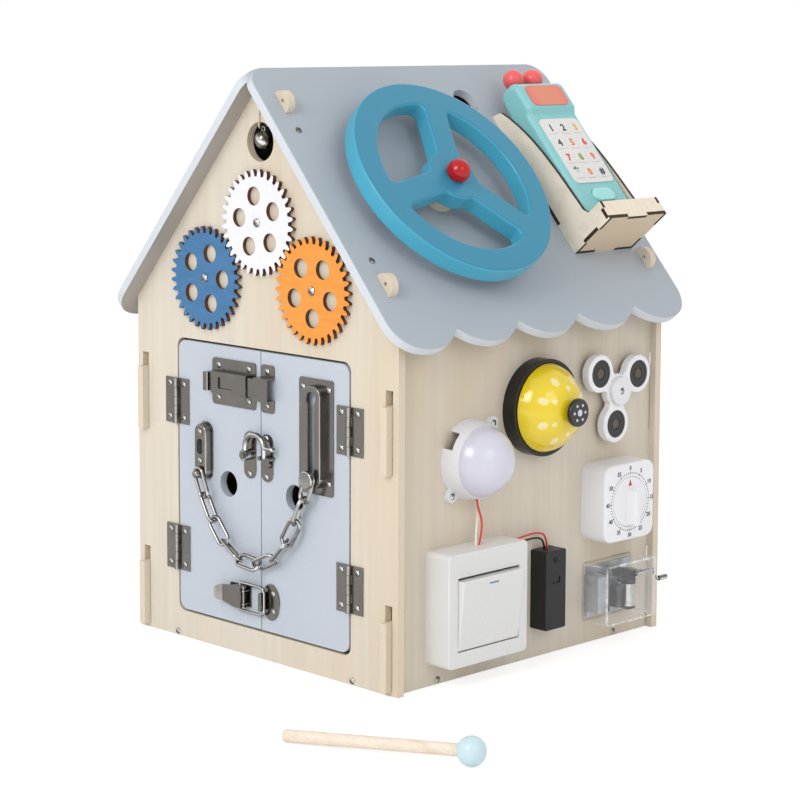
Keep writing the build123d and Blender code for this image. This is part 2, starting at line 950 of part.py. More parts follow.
with BuildPart() as right_door_hinge_leaves:
    for height in hinge_heights:
        leaf(height, -1, range(1, hinge_knuckles, 2))
        with BuildSketch(Plane(origin=(hinge_x, hinge_axis_y, height - hinge_height / 2))) as pin_bore:
            Circle(hinge_pin_radius + running_gap)
        extrude(pin_bore.sketch, amount=hinge_height, mode=Mode.SUBTRACT)
    drill(front_face(metal), door_leaf_screws, small_hole, 2 * metal)
save(right_door_hinge_leaves, "right_door_hinge_leaves")

with BuildPart() as left_door_hinge_leaves:
    add(right_door_hinge_leaves.part)
    mirror(about=Plane.YZ, mode=Mode.REPLACE)
save(left_door_hinge_leaves, "left_door_hinge_leaves")

with BuildPart() as left_door_screws:
    drive(small_screw, front_face(metal), left_door_holes)
    drive(anchor_screw, front_face(anchor_depth), anchor_screws)
save(left_door_screws, "left_door_screws")

with BuildPart() as right_door_screws:
    drive(small_screw, front_face(metal), right_door_holes)
save(right_door_screws, "right_door_screws")

# Slide bolt
bar_low = metal + seat_gap
bar_high = bar_low + bolt_bar_thickness
guide_half = bolt_bar_height / 2 + bolt_slide_gap
guide_lift = bar_high + bolt_slide_gap
with BuildPart() as bolt_plate:
    block(front_face(), bolt_x, bolt_z, 0, metal, bolt_plate_width, bolt_plate_height, bolt_corner)
    outer_height = 2 * (guide_half + metal)
    block(front_face(), bolt_x, bolt_z, 0, guide_lift + metal, bolt_guide_length, outer_height)
    block(front_face(), bolt_x, bolt_z, metal, guide_lift, bolt_plate_width, 2 * guide_half,
          mode=Mode.SUBTRACT)
    window_x = bolt_x - bolt_guide_length / 2 + bolt_window_length
    block(front_face(), window_x, bolt_z, guide_lift - metal, guide_lift + 2 * metal,
          bolt_window_length, bolt_window_height, metal, mode=Mode.SUBTRACT)
    drill(front_face(metal), bolt_screws, small_hole, 2 * metal)
save(bolt_plate, "bolt_plate")

with BuildPart() as bolt_bar:
    bar_middle = (bolt_bar_left + bolt_bar_right) / 2
    bar_length = bolt_bar_right - bolt_bar_left
    block(front_face(), bar_middle, bolt_z, bar_low, bar_high, bar_length, bolt_bar_height)
    grip_x = bolt_bar_left + bolt_grip_length / 2
    block(front_face(), grip_x, bolt_z, bar_low, bolt_grip_lift, bolt_grip_length, bolt_bar_height)
    fillet(edges().filter_by(Axis.Z).group_by(Axis.Y)[0], metal)
save(bolt_bar, "bolt_bar")

with BuildPart() as bolt_keeper:
    arch_half = bolt_bar_height / 2 + keeper_gap + metal
    block(front_face(), keeper_x, bolt_z, 0, metal, keeper_width, keeper_height, bolt_corner)
    block(front_face(), keeper_x, bolt_z, 0, keeper_lift, keeper_width, 2 * arch_half)
    block(front_face(), keeper_x, bolt_z, -metal, keeper_lift - metal, 2 * keeper_width,
          2 * (arch_half - metal),
          mode=Mode.SUBTRACT)
    drill(front_face(metal), keeper_screws, small_hole, 2 * metal)
save(bolt_keeper, "bolt_keeper")

# Swing hook
pivot_x, pivot_z = hook_pivot
hook_top = pivot_z + hook_rise
hook_end_x = pivot_x + hook_span
hook_end_z = hook_top - hook_drop
with BuildPart() as hook_plate:
    block(front_face(), hook_plate_x, hook_plate_z, 0, metal, hook_plate_width, hook_plate_height,
          hook_plate_width / 2 - seat_gap)
    drill(front_face(metal), hook_screws, small_hole, 2 * metal)
    boss(front_face(), pivot_x, pivot_z, 0, hook_hub_top + metal, hook_pin_radius)
    boss(front_face(), pivot_x, pivot_z, hook_hub_top + seat_gap, hook_hub_top + metal + seat_gap,
         hook_pin_radius + metal)
save(hook_plate, "hook_plate")

with BuildPart() as hook_arm:
    hook_y = -half_depth - hook_lift
    rod(
        [
            (pivot_x, hook_y, pivot_z),
            (pivot_x, hook_y, hook_top),
            (hook_end_x, hook_y, hook_top),
            (hook_end_x, hook_y, hook_end_z),
        ],
        hook_wire,
        hook_bend,
    )
    boss(front_face(), pivot_x, pivot_z, metal + seat_gap, hook_hub_top, hook_hub_radius)
    boss(front_face(), pivot_x, pivot_z, 0, hook_hub_top + metal, hook_pin_radius + running_gap,
         mode=Mode.SUBTRACT)
    with Locations((hook_end_x, hook_y, hook_end_z)):
        Sphere(hook_wire)
    tail_z = hook_top - hook_tail_drop
    with BuildSketch(Plane.YZ.offset(hook_end_x)) as tail_root:
        with Locations((hook_y, tail_z)):
            Circle(hook_wire)
    with BuildSketch(Plane.YZ.offset(hook_end_x + hook_tail_length)) as tail_end:
        with Locations((hook_y, tail_z)):
            Circle(hook_wire / 2)
    loft([tail_root.sketch.face(), tail_end.sketch.face()])
    with Locations((hook_end_x + hook_tail_length, hook_y, tail_z)):
        Sphere(hook_tail_tip)
save(hook_arm, "hook_arm")

with BuildPart() as hook_catch:
    block(front_face(), catch_plate_x, hook_plate_z, 0, metal, hook_plate_width, hook_plate_height,
          hook_plate_width / 2 - seat_gap)
    drill(front_face(metal), catch_screws, small_hole, 2 * metal)
    for side in (-1, 1):
        prong_x = hook_end_x + side * (hook_wire + catch_prong_gap + catch_prong_radius)
        boss(front_face(), prong_x, hook_end_z - catch_prong_drop, 0, catch_prong_height, catch_prong_radius)
    boss(front_face(), hook_end_x, hook_end_z - hook_wire - catch_saddle_drop, 0, catch_saddle_height,
         catch_saddle_radius)
save(hook_catch, "hook_catch")

# Toggle clasp: its loop's near end turns in the lever, off the lever's own pivot
loop_x = toggle_pivot_x - loop_offset
loop_lift = toggle_pivot_lift - loop_sink
toggle_level = front_level(toggle_z)


def toggle_pin(across, lift, radius, length, mode=Mode.ADD):
    """An upright pin through the clasp."""
    with BuildSketch(at(toggle_level, across, lift)) as disc:
        Circle(radius)
    extrude(disc.sketch, amount=length / 2, both=True, mode=mode)


with BuildPart() as toggle_base:
    base_middle = (toggle_base_left + toggle_base_right) / 2
    base_width = toggle_base_right - toggle_base_left
    block(front_face(), base_middle, toggle_z, 0, metal, base_width, toggle_base_height, metal)
    for side in (-1, 1):
        with BuildSketch(at(toggle_level, 0, 0, side * toggle_ear_offset)) as ear:
            with Locations((toggle_pivot_x, toggle_pivot_lift)):
                Circle(toggle_ear_half)
                Rectangle(2 * toggle_ear_half, toggle_pivot_lift, align=(Align.CENTER, Align.MAX))
        extrude(ear.sketch, amount=metal / 2, both=True)
    toggle_pin(toggle_pivot_x, toggle_pivot_lift, toggle_pin_radius, lever_width)
    drill(front_face(metal), toggle_screws, small_hole, 2 * metal)
save(toggle_base, "toggle_base")

with BuildPart() as toggle_lever:
    with BuildSketch(toggle_level) as lever_top:
        with BuildLine():
            Polyline(
                (toggle_pivot_x, lever_high),
                (toggle_pivot_x - loop_offset, lever_high),
                (lever_curl_x, lever_low + metal),
                (lever_tip_x, lever_curl_lift),
                (lever_tip_x - metal, lever_curl_lift - metal),
                (lever_curl_x, lever_low),
                (toggle_pivot_x - loop_offset, lever_high - metal),
                (toggle_pivot_x, lever_high - metal),
                close=True,
            )
        make_face()
        curl = [corner for corner in vertices() if abs(corner.X - lever_curl_x) < seat_gap]
        fillet([corner for corner in curl if corner.Y > lever_low + seat_gap], 2 * metal)
    extrude(lever_top.sketch, amount=lever_width / 2, both=True)
    with BuildSketch(toggle_level) as cheek:
        with Locations((toggle_pivot_x, toggle_pivot_lift)):
            Circle(toggle_ear_half)
        with BuildLine():
            Polyline(
                (toggle_pivot_x, lever_high),
                (toggle_pivot_x - loop_offset, lever_high),
                (lever_cheek_left, lever_high - 2 * metal),
                (lever_cheek_left, lever_cheek_low),
                (toggle_pivot_x, toggle_pivot_lift - toggle_ear_half),
                close=True,
            )
        make_face()
    extrude(cheek.sketch, amount=lever_width / 2, both=True)
    with BuildSketch(toggle_level) as hollow:
        with BuildLine():
            Polyline(
                (toggle_pivot_x + 2 * toggle_ear_half, lever_high - metal),
                (toggle_pivot_x - loop_offset, lever_high - metal),
                (lever_curl_x, lever_low),
                (lever_curl_x, 0),
                (toggle_pivot_x + 2 * toggle_ear_half, 0),
                close=True,
            )
        make_face()
    extrude(hollow.sketch, amount=lever_width / 2 - metal, both=True, mode=Mode.SUBTRACT)
    toggle_pin(toggle_pivot_x, toggle_pivot_lift, toggle_pin_radius + running_gap, 2 * lever_width,
               Mode.SUBTRACT)
    toggle_pin(loop_x, loop_lift, loop_wire + running_gap, 2 * lever_width, Mode.SUBTRACT)
    with BuildSketch(front_face()) as lever_plan:
        with BuildLine():
            Polyline(
                (toggle_pivot_x + 2 * toggle_ear_half, toggle_z - lever_width),
                (toggle_pivot_x + 2 * toggle_ear_half, toggle_z + lever_width),
                (lever_cheek_left, toggle_z + lever_width),
                (lever_cheek_left, toggle_z + lever_width / 2),
                (lever_curl_x, toggle_z + lever_tip_width / 2),
                (lever_tip_x - metal / 2, toggle_z + lever_tip_width / 2),
                (lever_tip_x - metal / 2, toggle_z - lever_tip_width / 2),
                (lever_curl_x, toggle_z - lever_tip_width / 2),
                (lever_cheek_left, toggle_z - lever_width / 2),
                (lever_cheek_left, toggle_z - lever_width),
                close=True,
            )
        make_face()
        fillet([v for v in vertices() if v.X < lever_tip_x], lever_tip_round)
    extrude(lever_plan.sketch, amount=2 * lever_curl_lift, mode=Mode.INTERSECT)
save(toggle_lever, "toggle_lever")

with BuildPart() as toggle_loop:
    loop_y = -half_depth - loop_lift
    far_x = loop_x + loop_reach
    low_z = toggle_z - loop_half_height
    high_z = toggle_z + loop_half_height
    rod([(loop_x, loop_y, low_z), (far_x, loop_y, low_z), (far_x, loop_y, high_z), (loop_x, loop_y, high_z)],
        loop_wire, loop_bend)
    toggle_pin(loop_x, loop_lift, loop_wire, 2 * loop_half_height)
    with Locations((loop_x, loop_y, low_z), (loop_x, loop_y, high_z)):
        Sphere(loop_wire)
save(toggle_loop, "toggle_loop")

with BuildPart() as toggle_strike:
    with BuildSketch(front_face()) as oval:
        with Locations((strike_x, toggle_z)):
            Ellipse(strike_width / 2, strike_height / 2)
    extrude(oval.sketch, amount=metal)
    with BuildSketch(toggle_level) as strike_hook:
        wall = strike_wall_x + metal
        with BuildLine():
            Polyline(
                (strike_wall_x, 0),
                (strike_wall_x, strike_lip_lift + metal),
                (strike_wall_x + strike_lip_length, strike_lip_lift + metal),
                (strike_wall_x + strike_lip_length, strike_lip_lift),
                (wall, strike_lip_lift),
                (wall, 0),
                close=True,
            )
        make_face()
    extrude(strike_hook.sketch, amount=strike_hook_height / 2, both=True)
    drill(front_face(metal), strike_screws, small_hole, 2 * metal)
save(toggle_strike, "toggle_strike")

# Door chain
peg_x, peg_z = peg_place
peg_high = anchor_depth + peg_length
with BuildPart() as peg_head:
    with Locations((peg_x, -half_depth - peg_high, peg_z)):
        Sphere(peg_head_radius)
    split(bisect_by=front_face(peg_high), keep=Keep.TOP)

with BuildPart() as chain_anchor:
    end_radius = anchor_width / 2 - seat_gap
    block(front_face(), anchor_x, anchor_z, 0, anchor_depth, anchor_width, anchor_height, end_radius)
    fillet(faces().sort_by(Axis.Y)[0].edges(), anchor_edge_round)
    block(front_face(), anchor_x, anchor_z, 0, metal, anchor_width + 2 * anchor_flange,
          anchor_height + 2 * anchor_flange, end_radius + anchor_flange)
    block(front_face(), anchor_x, anchor_z, -metal, anchor_depth - metal, anchor_width - 2 * metal,
          anchor_height - 2 * metal, end_radius - metal, mode=Mode.SUBTRACT)
    block(front_face(), anchor_x, anchor_z + anchor_slot_rise, anchor_depth - 2 * metal, anchor_depth + metal,
          anchor_slot_width, anchor_slot_height, anchor_slot_width / 2 - seat_gap, mode=Mode.SUBTRACT)
    drill(front_face(anchor_depth), anchor_screws, small_hole, 2 * metal)
    boss(front_face(), peg_x, peg_z, anchor_depth - 2 * metal, peg_high, peg_radius)
    add(peg_head.part)
save(chain_anchor, "chain_anchor")


def hanging_turns(span, drop):
    """The slope of each link of the chain where it hangs over a span and ends higher by a drop."""

    def ends(tightness, lowest):
        turns = [atan((index - lowest) / tightness) for index in range(chain_links)]
        return turns, sum(cos(turn) for turn in turns), sum(sin(turn) for turn in turns)

    loose, tight = 1 / chain_links, chain_links * chain_links
    for _ in range(60):
        tightness = (loose + tight) / 2
        left, right = -chain_links, 2 * chain_links
        for _ in range(60):
            lowest = (left + right) / 2
            turns, across, up = ends(tightness, lowest)
            if up * link_pitch > drop:
                left = lowest
            else:
                right = lowest
        if across * link_pitch < span:
            loose = tightness
        else:
            tight = tightness
    return turns


# One link, laid along X in the XY plane
link_length = link_pitch + 4 * link_wire + link_gap
link_reach = link_width / 2 - link_wire
with BuildPart() as link:
    straight = link_length - link_width
    with BuildSketch(Plane.YZ):
        with Locations((link_reach, 0), (-link_reach, 0)):
            Circle(link_wire)
    extrude(amount=straight / 2, both=True)
    for end in (-1, 1):
        with BuildSketch(Plane.YZ.offset(end * straight / 2)) as bend_start:
            with Locations((link_reach, 0)):
                Circle(link_wire)
        revolve(bend_start.sketch, axis=Axis((end * straight / 2, 0, 0), (0, 0, -end)), revolution_arc=180)

# The chain hangs from the peg to the slider's stem, each link turned on from the last
peg_lift = anchor_depth + peg_length / 2
stem_lift = (channel_lift + slider_disc_low) / 2
turns = hanging_turns(track_x - peg_x, slider_height - peg_z)
for _ in range(3):
    start_x = peg_x - cos(turns[0]) * (peg_radius + link_gap / 2)
    start_z = peg_z - sin(turns[0]) * (peg_radius + link_gap / 2)
    end_x = track_x + cos(turns[-1]) * (slider_stem_radius + link_gap / 2)
    end_z = slider_height + sin(turns[-1]) * (slider_stem_radius + link_gap / 2)
    turns = hanging_turns(end_x - start_x, end_z - start_z)
with BuildPart() as chain:
    node_x, node_z = start_x, start_z
    for index, turn in enumerate(turns):
        middle_x = node_x + cos(turn) * link_pitch / 2
        middle_z = node_z + sin(turn) * link_pitch / 2
        share = index / (chain_links - 1)
        middle_lift = peg_lift + (stem_lift - peg_lift) * share
        laid = Plane(
            origin=(middle_x, -half_depth - middle_lift, middle_z),
            x_dir=(cos(turn), 0, sin(turn)),
            z_dir=(0, -1, 0),
        )
        with Locations(laid.location * Location((0, 0, 0), (index * link_twist, 0, 0))):
            add(link.part)
        node_x = node_x + cos(turn) * link_pitch
        node_z = node_z + sin(turn) * link_pitch
print("chain's lowest point", round(chain.part.bounding_box().min.Z, 1))
save(chain, "chain_links")

with BuildPart() as chain_track:
    block(front_face(), track_x, track_z, 0, metal, track_width, track_height, track_corner)
    channel_z = (channel_bottom + channel_top) / 2
    channel_length = channel_top - channel_bottom
    channel_corner = channel_width / 2 - 2 * metal
    block(front_face(), track_x, channel_z, 0, channel_lift, channel_width, channel_length, channel_corner)
    fillet(faces().sort_by(Axis.Y)[0].edges(), track_edge_round)
    block(front_face(), track_x, channel_z, -metal, channel_lift - metal, channel_width - 2 * metal,
          channel_length - 2 * metal, channel_corner - metal, mode=Mode.SUBTRACT)
    slot_z = (slot_bottom + keyhole_height) / 2
    block(front_face(), track_x, slot_z, channel_lift - 2 * metal, channel_lift + metal, slot_width,
          keyhole_height - slot_bottom, slot_width / 2 - seat_gap, mode=Mode.SUBTRACT)
    boss(front_face(), track_x, keyhole_height, channel_lift - 2 * metal, channel_lift + metal,
         keyhole_radius, mode=Mode.SUBTRACT)
    drill(front_face(metal), track_screws, small_hole, 2 * metal)
save(chain_track, "chain_track")

with BuildPart() as chain_slider:
    boss(front_face(), track_x, slider_height, slider_flange_low, slider_flange_high, slider_flange_radius)
    boss(front_face(), track_x, slider_height, slider_flange_low, slider_disc_low, slider_stem_radius)
    boss(front_face(), track_x, slider_height, slider_disc_low, slider_disc_high, slider_disc_radius)
    fillet(edges().sort_by(Axis.Y)[0], metal)
save(chain_slider, "chain_slider")

# Gears in mesh: each one's teeth follow from the white gear's
gear_pitch_radius = gear_module * gear_teeth / 2
tooth_pitch = 2 * pi / gear_teeth


def gear_points(turn):
    """The outline of a gear about its own centre, with a tooth at a turn from its local x."""
    base_radius = gear_pitch_radius * cos(gear_pressure)
    half_at_pitch = (pi * gear_module / 2 - gear_backlash) / 2 / gear_pitch_radius
    root = gear_pitch_radius - gear_root_depth
    tip = gear_pitch_radius + gear_module
    flank = []
    for radius in (root, base_radius, gear_pitch_radius, tip):
        angle = acos(min(1, base_radius / max(radius, base_radius)))
        flank.append((radius, half_at_pitch + tan(gear_pressure) - gear_pressure - tan(angle) + angle))
    points = []
    for tooth in range(gear_teeth):
        middle = turn + tooth * tooth_pitch
        points += [(radius * cos(middle - half), radius * sin(middle - half)) for radius, half in flank]
        points += [
            (radius * cos(middle + half), radius * sin(middle + half)) for radius, half in reversed(flank)
        ]
    return points


def meshed_turn(place):
    """The turn of a gear's teeth that mesh with the white gear's, from the line between their centres."""
    across, up = place
    line = atan((up - white_gear_height) / across) + (pi if across < 0 else 0)
    ahead = (line - radians(white_tooth_turn)) / tooth_pitch
    return line + pi + ahead * tooth_pitch - tooth_pitch / 2


def gear(place, tooth_turn, hole_turn):
    """A gear on the front gable with its ring of holes."""
    with BuildPart() as wheel:
        with BuildSketch(at(front_face(), *place, gear_lift)):
            with BuildLine():
                Polyline(*gear_points(tooth_turn), close=True)
            make_face()
            with PolarLocations(gear_hole_ring, gear_holes, start_angle=hole_turn):
                Circle(gear_hole_radius, mode=Mode.SUBTRACT)
            Circle(gear_screw_shank + running_gap, mode=Mode.SUBTRACT)
        extrude(amount=gear_thickness)
    return wheel.part


white_place, blue_place, orange_place = gear_places
with BuildPart() as gear_white:
    add(gear(white_place, radians(white_tooth_turn), white_hole_turn))
save(gear_white, "gear_white")

with BuildPart() as gear_blue:
    add(gear(blue_place, meshed_turn(blue_place), blue_hole_turn))
save(gear_blue, "gear_blue")

with BuildPart() as gear_orange:
    add(gear(orange_place, meshed_turn(orange_place), orange_hole_turn))
save(gear_orange, "gear_orange")

# Jingle bell on a loop of string through the small hole
with BuildPart() as jingle_bell:
    ring_z = bell_height + bell_radius + bell_ring_radius + bell_ring_wire - bell_ring_sink
    with Locations((0, -gable_centre, bell_height)):
        Sphere(bell_radius)
        Sphere(bell_radius - bell_wall, mode=Mode.SUBTRACT)
    with Locations((0, -gable_centre, bell_height - bell_slot_drop)):
        Box(4 * bell_radius, bell_slot, 2 * bell_radius, align=(Align.CENTER, Align.CENTER, Align.MAX),
            mode=Mode.SUBTRACT)
    with Locations(Location((0, -gable_centre, ring_z), (90, 0, 0))):
        Torus(bell_ring_radius, bell_ring_wire)
    strand = ply / 2 + string_clearance + string_radius
    low_z = ring_z + string_sink
    with BuildLine() as loop:
        FilletPolyline(
            (0, -gable_centre - strand, low_z),
            (0, -gable_centre - strand, string_hole_height),
            (0, -gable_centre + strand, string_hole_height),
            (0, -gable_centre + strand, low_z),
            radius=string_bend,
            close=True,
        )
    with BuildSketch(Plane(origin=loop.wires()[0] @ 0, z_dir=loop.wires()[0] % 0)) as section:
        Circle(string_radius)
    sweep(section.sketch, path=loop.wires()[0])
save(jingle_bell, "jingle_bell")

# Steering wheel on a wooden spacer, held by the ball's stud
wheel_base = at(slope_face(), wheel_y, -wheel_s)


def near_a_spoke(corner, radius):
    """Whether a corner of the wheel's plan lies on a circle, beside a spoke."""
    if abs(hypot(corner.X, corner.Y) - radius) > cutter_overrun:
        return False
    spread = wheel_spoke_width * wheel_spoke_reach_share
    for spoke in wheel_spoke_turns:
        along = corner.X * cos(radians(spoke)) + corner.Y * sin(radians(spoke))
        aside = corner.Y * cos(radians(spoke)) - corner.X * sin(radians(spoke))
        if along > 0 and abs(aside) < spread:
            return True
    return False


with BuildPart() as steering_wheel:
    with BuildSketch(at(wheel_base, 0, 0, wheel_low)):
        Circle(wheel_radius)
        Circle(wheel_rim_radius, mode=Mode.SUBTRACT)
        Circle(wheel_hub_radius)
        for spoke in wheel_spoke_turns:
            with Locations(Location((0, 0, 0), (0, 0, spoke))):
                spoke_length = (wheel_radius + wheel_rim_radius) / 2
                Rectangle(spoke_length, wheel_spoke_width, align=(Align.MIN, Align.CENTER))
        fillet([v for v in vertices() if near_a_spoke(v, wheel_rim_radius)], wheel_corner)
        fillet([v for v in vertices() if near_a_spoke(v, wheel_hub_radius)], wheel_hub_corner)
    extrude(amount=wheel_thickness)
    flat = faces().filter_by(Axis(wheel_base.origin, wheel_base.z_dir))
    fillet(flat.edges(), wheel_edge_round)
    boss(wheel_base, 0, 0, 0, 2 * wheel_top, stud_radius + running_gap, mode=Mode.SUBTRACT)
save(steering_wheel, "steering_wheel")

with BuildPart() as wheel_spacer:
    boss(wheel_base, 0, 0, 0, spacer_height, spacer_radius)
    boss(wheel_base, 0, 0, -spacer_height, 2 * spacer_height, stud_radius + running_gap, mode=Mode.SUBTRACT)
save(wheel_spacer, "wheel_spacer")

with BuildPart() as wheel_cap:
    with Locations(at(wheel_base, 0, 0, wheel_top + ball_rise).location):
        Sphere(ball_radius)
    split(bisect_by=at(wheel_base, 0, 0, wheel_top + wheel_gap), keep=Keep.TOP)
    nut_top = -roof_ply - seat_gap
    boss(wheel_base, 0, 0, nut_top - nut_height, wheel_top + ball_rise, stud_radius)
    with BuildSketch(at(wheel_base, 0, 0, nut_top - nut_height)) as nut:
        RegularPolygon(nut_radius, 6)
    extrude(nut.sketch, amount=nut_height)
save(wheel_cap, "wheel_cap")

# Phone stand: two cheeks, a back, an end and a lip, with finger joints
stand_length = stand_end - stand_tip
stand_right = stand_left + stand_width
inner_left = stand_left + stand_ply + finger_gap
inner_right = stand_right - stand_ply - finger_gap
end_start = stand_end - stand_ply
lip_low = stand_height - stand_ply
cheek_curve = [(stand_tip + across * stand_length, up * stand_height) for across, up in stand_outline_shares]
end_finger = tuple(stand_height * share for share in end_finger_shares)
lip_finger = (stand_lip_start + 2 * stand_ply, end_start - stand_ply / 2)
back_finger_starts = [stand_tip + share * stand_length for share in back_finger_start_shares]
back_fingers = [(start, start + back_finger_length_share * stand_length) for start in back_finger_starts]
middle_finger = (stand_middle - stand_width / 6, stand_middle + stand_width / 6)


def slope_box(y_span, s_span, h_span, mode=Mode.ADD):
    """A box on the right slope between places along it, down it and above it."""
    (y_low, y_high), (s_low, s_high), (h_low, h_high) = y_span, s_span, h_span
    block(slope_face(), (y_low + y_high) / 2, -(s_low + s_high) / 2, h_low, h_high, y_high - y_low,
          s_high - s_low,
          mode=mode)


def grown(span, by):
    """A span made longer at both ends."""
    return span[0] - by, span[1] + by


with BuildPart() as phone_stand:
    for cheek_y in (stand_left, stand_right - stand_ply):
        with BuildSketch(slope_section(cheek_y)) as cheek:
            with BuildLine():
                lip_root = (stand_lip_start, stand_notch_share * stand_height)
                Polyline(cheek_curve[0], (stand_tip, 0), (stand_end, 0), (stand_end, stand_height),
                         (stand_lip_start, stand_height), lip_root, cheek_curve[-1])
                Spline(*cheek_curve)
            make_face()
        extrude(cheek.sketch, amount=-stand_ply)
    across = grown((stand_left, stand_right), cutter_overrun)
    end_room = (end_start - finger_gap, stand_end + finger_gap)
    lip_room = (lip_low - finger_gap, stand_height + finger_gap)
    slope_box(across, end_room, grown(end_finger, finger_gap), Mode.SUBTRACT)
    slope_box(across, grown(lip_finger, finger_gap), lip_room, Mode.SUBTRACT)
    for finger in back_fingers:
        slope_box(across, grown(finger, finger_gap), (-finger_gap, stand_ply + finger_gap), Mode.SUBTRACT)
    inner = (inner_left, inner_right)
    outer = (stand_left, stand_right)
    slope_box(inner, (stand_tip + 2 * stand_ply, end_start - finger_gap), (0, stand_ply))
    for finger in back_fingers:
        slope_box(outer, finger, (0, stand_ply))
    slope_box(inner, (end_start, stand_end), (0, stand_height))
    slope_box(outer, (end_start, stand_end), end_finger)
    slope_box(grown(middle_finger, finger_gap), (end_start, stand_end), (lip_low - finger_gap, stand_height),
              Mode.SUBTRACT)
    slope_box(inner, (stand_lip_start, end_start - finger_gap), (lip_low, stand_height))
    slope_box(middle_finger, (stand_lip_start, stand_end), (lip_low, stand_height))
    slope_box(outer, lip_finger, (lip_low, stand_height))
save(phone_stand, "phone_stand")

# Toy phone
phone_left = stand_middle - phone_width / 2
with BuildPart() as phone_body:
    with BuildSketch(slope_section(phone_left)) as phone_side:
        with BuildLine():
            Polyline(
                (phone_bottom, phone_low),
                (phone_bottom, phone_front),
                (phone_head_end, phone_front),
                (phone_head_end - phone_head_slope, phone_head_lift),
                (phone_top, phone_head_lift),
                (phone_top, phone_back_lift),
                (phone_back_bend, phone_low),
                close=True,
            )
        make_face()
        fillet([v for v in vertices() if v.X < phone_top + seat_gap], phone_head_round)
        fillet([v for v in vertices() if v.X > phone_top + phone_head_round + seat_gap], phone_bend_round)
    extrude(phone_side.sketch, amount=-phone_width)
    fillet(faces().filter_by(Axis.Y).edges(), phone_round)
    home_floor = phone_front - home_depth - home_travel - home_gap
    block(slope_face(), stand_middle, -home_place, home_floor, 2 * phone_front, home_width + 2 * home_gap,
          home_length + 2 * home_gap, home_corner, mode=Mode.SUBTRACT)
save(phone_body, "phone_body")

with BuildPart() as phone_keypad:
    block(slope_face(), stand_middle, -keypad_place, phone_front, phone_front + keypad_thickness,
          keypad_width,
          keypad_length, keypad_corner)
    with BuildSketch(at(slope_face(), stand_middle, -keypad_place, phone_front + keypad_thickness)) as keys:
        with GridLocations(key_column_pitch, key_row_pitch, key_columns, key_rows):
            RectangleRounded(key_width, key_length, key_corner)
    extrude(keys.sketch, amount=key_rise)
save(phone_keypad, "phone_keypad")

with BuildPart() as phone_home_button:
    block(slope_face(), stand_middle, -home_place, phone_front - home_depth, phone_front + home_rise,
          home_width,
          home_length, home_corner)
    fillet(faces().sort_by(Axis(slope_face().origin, slope_face().z_dir))[-1].edges(), home_rise / 3)
save(phone_home_button, "phone_home_button")

with BuildPart() as phone_trim:
    block(slope_face(), stand_middle, -panel_place, phone_head_lift, phone_head_lift + panel_thickness,
          panel_width,
          panel_length, panel_corner)
    for side in (-1, 1):
        bobble_y = stand_middle + side * bobble_offset
        bobble = at(slope_face(), bobble_y, -bobble_place, bobble_lift)
        with Locations(bobble.location):
            Sphere(bobble_radius)
        with BuildSketch(Plane(origin=bobble.origin, x_dir=bobble.x_dir, z_dir=-bobble.y_dir)) as neck:
            Circle(bobble_neck)
        extrude(neck.sketch, amount=phone_top - bobble_place)
save(phone_trim, "phone_trim")

# Lamp
lamp_foot = at(wall_face(), lamp_y, lamp_z)
with BuildPart() as lamp_base:
    slope = lamp_wall * (lamp_foot_radius - lamp_top_radius) / lamp_height
    turned(lamp_foot, [(0, 0), (lamp_foot_radius, 0), (lamp_top_radius, lamp_height), (0, lamp_height)])
    with BuildSketch(lamp_foot) as ears:
        SlotCenterPoint((0, 0), lamp_ear_offset, 2 * lamp_ear_radius)
    extrude(ears.sketch, amount=lamp_ear_height)
    turned(
        lamp_foot,
        [
            (0, 0),
            (lamp_foot_radius - lamp_wall, 0),
            (lamp_top_radius - lamp_wall + slope, lamp_height - lamp_wall),
            (0, lamp_height - lamp_wall),
        ],
        mode=Mode.SUBTRACT,
    )
    boss(lamp_foot, 0, 0, lamp_height - lamp_wall, lamp_height + led_height, led_radius)
    with BuildSketch(lamp_foot) as cut:
        with Locations(Location((0, 0, 0), (0, 0, lamp_notch_turn))):
            with Locations((lamp_foot_radius, 0)):
                Rectangle(4 * lamp_wall, lamp_notch_width)
    extrude(cut.sketch, amount=lamp_notch_height, mode=Mode.SUBTRACT)
    drill(wall_face(lamp_ear_height), lamp_screws, wood_hole, 2 * lamp_ear_height)

with BuildPart() as lamp_dome:
    dome(at(lamp_foot, 0, 0, lamp_height), lamp_dome_radius, lamp_dome_height, lamp_dome_wall)
save(lamp_dome, "lamp_dome")

# Wall switch: its rocker is made level, then tipped about its pivot
switch_y, switch_z = switch_place
rocker_z = switch_z - rocker_drop
pivot_lift = switch_depth + rocker_proud - rocker_pivot_depth
rocker_axis = Axis((wall_x + pivot_lift, 0, rocker_z), (0, 1, 0))
swing = rocker_pivot_depth * sin(radians(rocker_tilt))
opening_height = rocker_height + 2 * (swing + rocker_gap)
opening_width = rocker_width + 2 * rocker_side_gap


def rocker_pins(radius, mode=Mode.ADD):
    """The rocker's two pivot stubs, or with a larger radius the bores for them."""
    with BuildSketch(Plane(origin=(wall_x + pivot_lift, switch_y, rocker_z), z_dir=(0, 1, 0))) as stub:
        Circle(radius)
    extrude(stub.sketch, amount=rocker_width / 2 + rocker_pin_length, both=True, mode=mode)


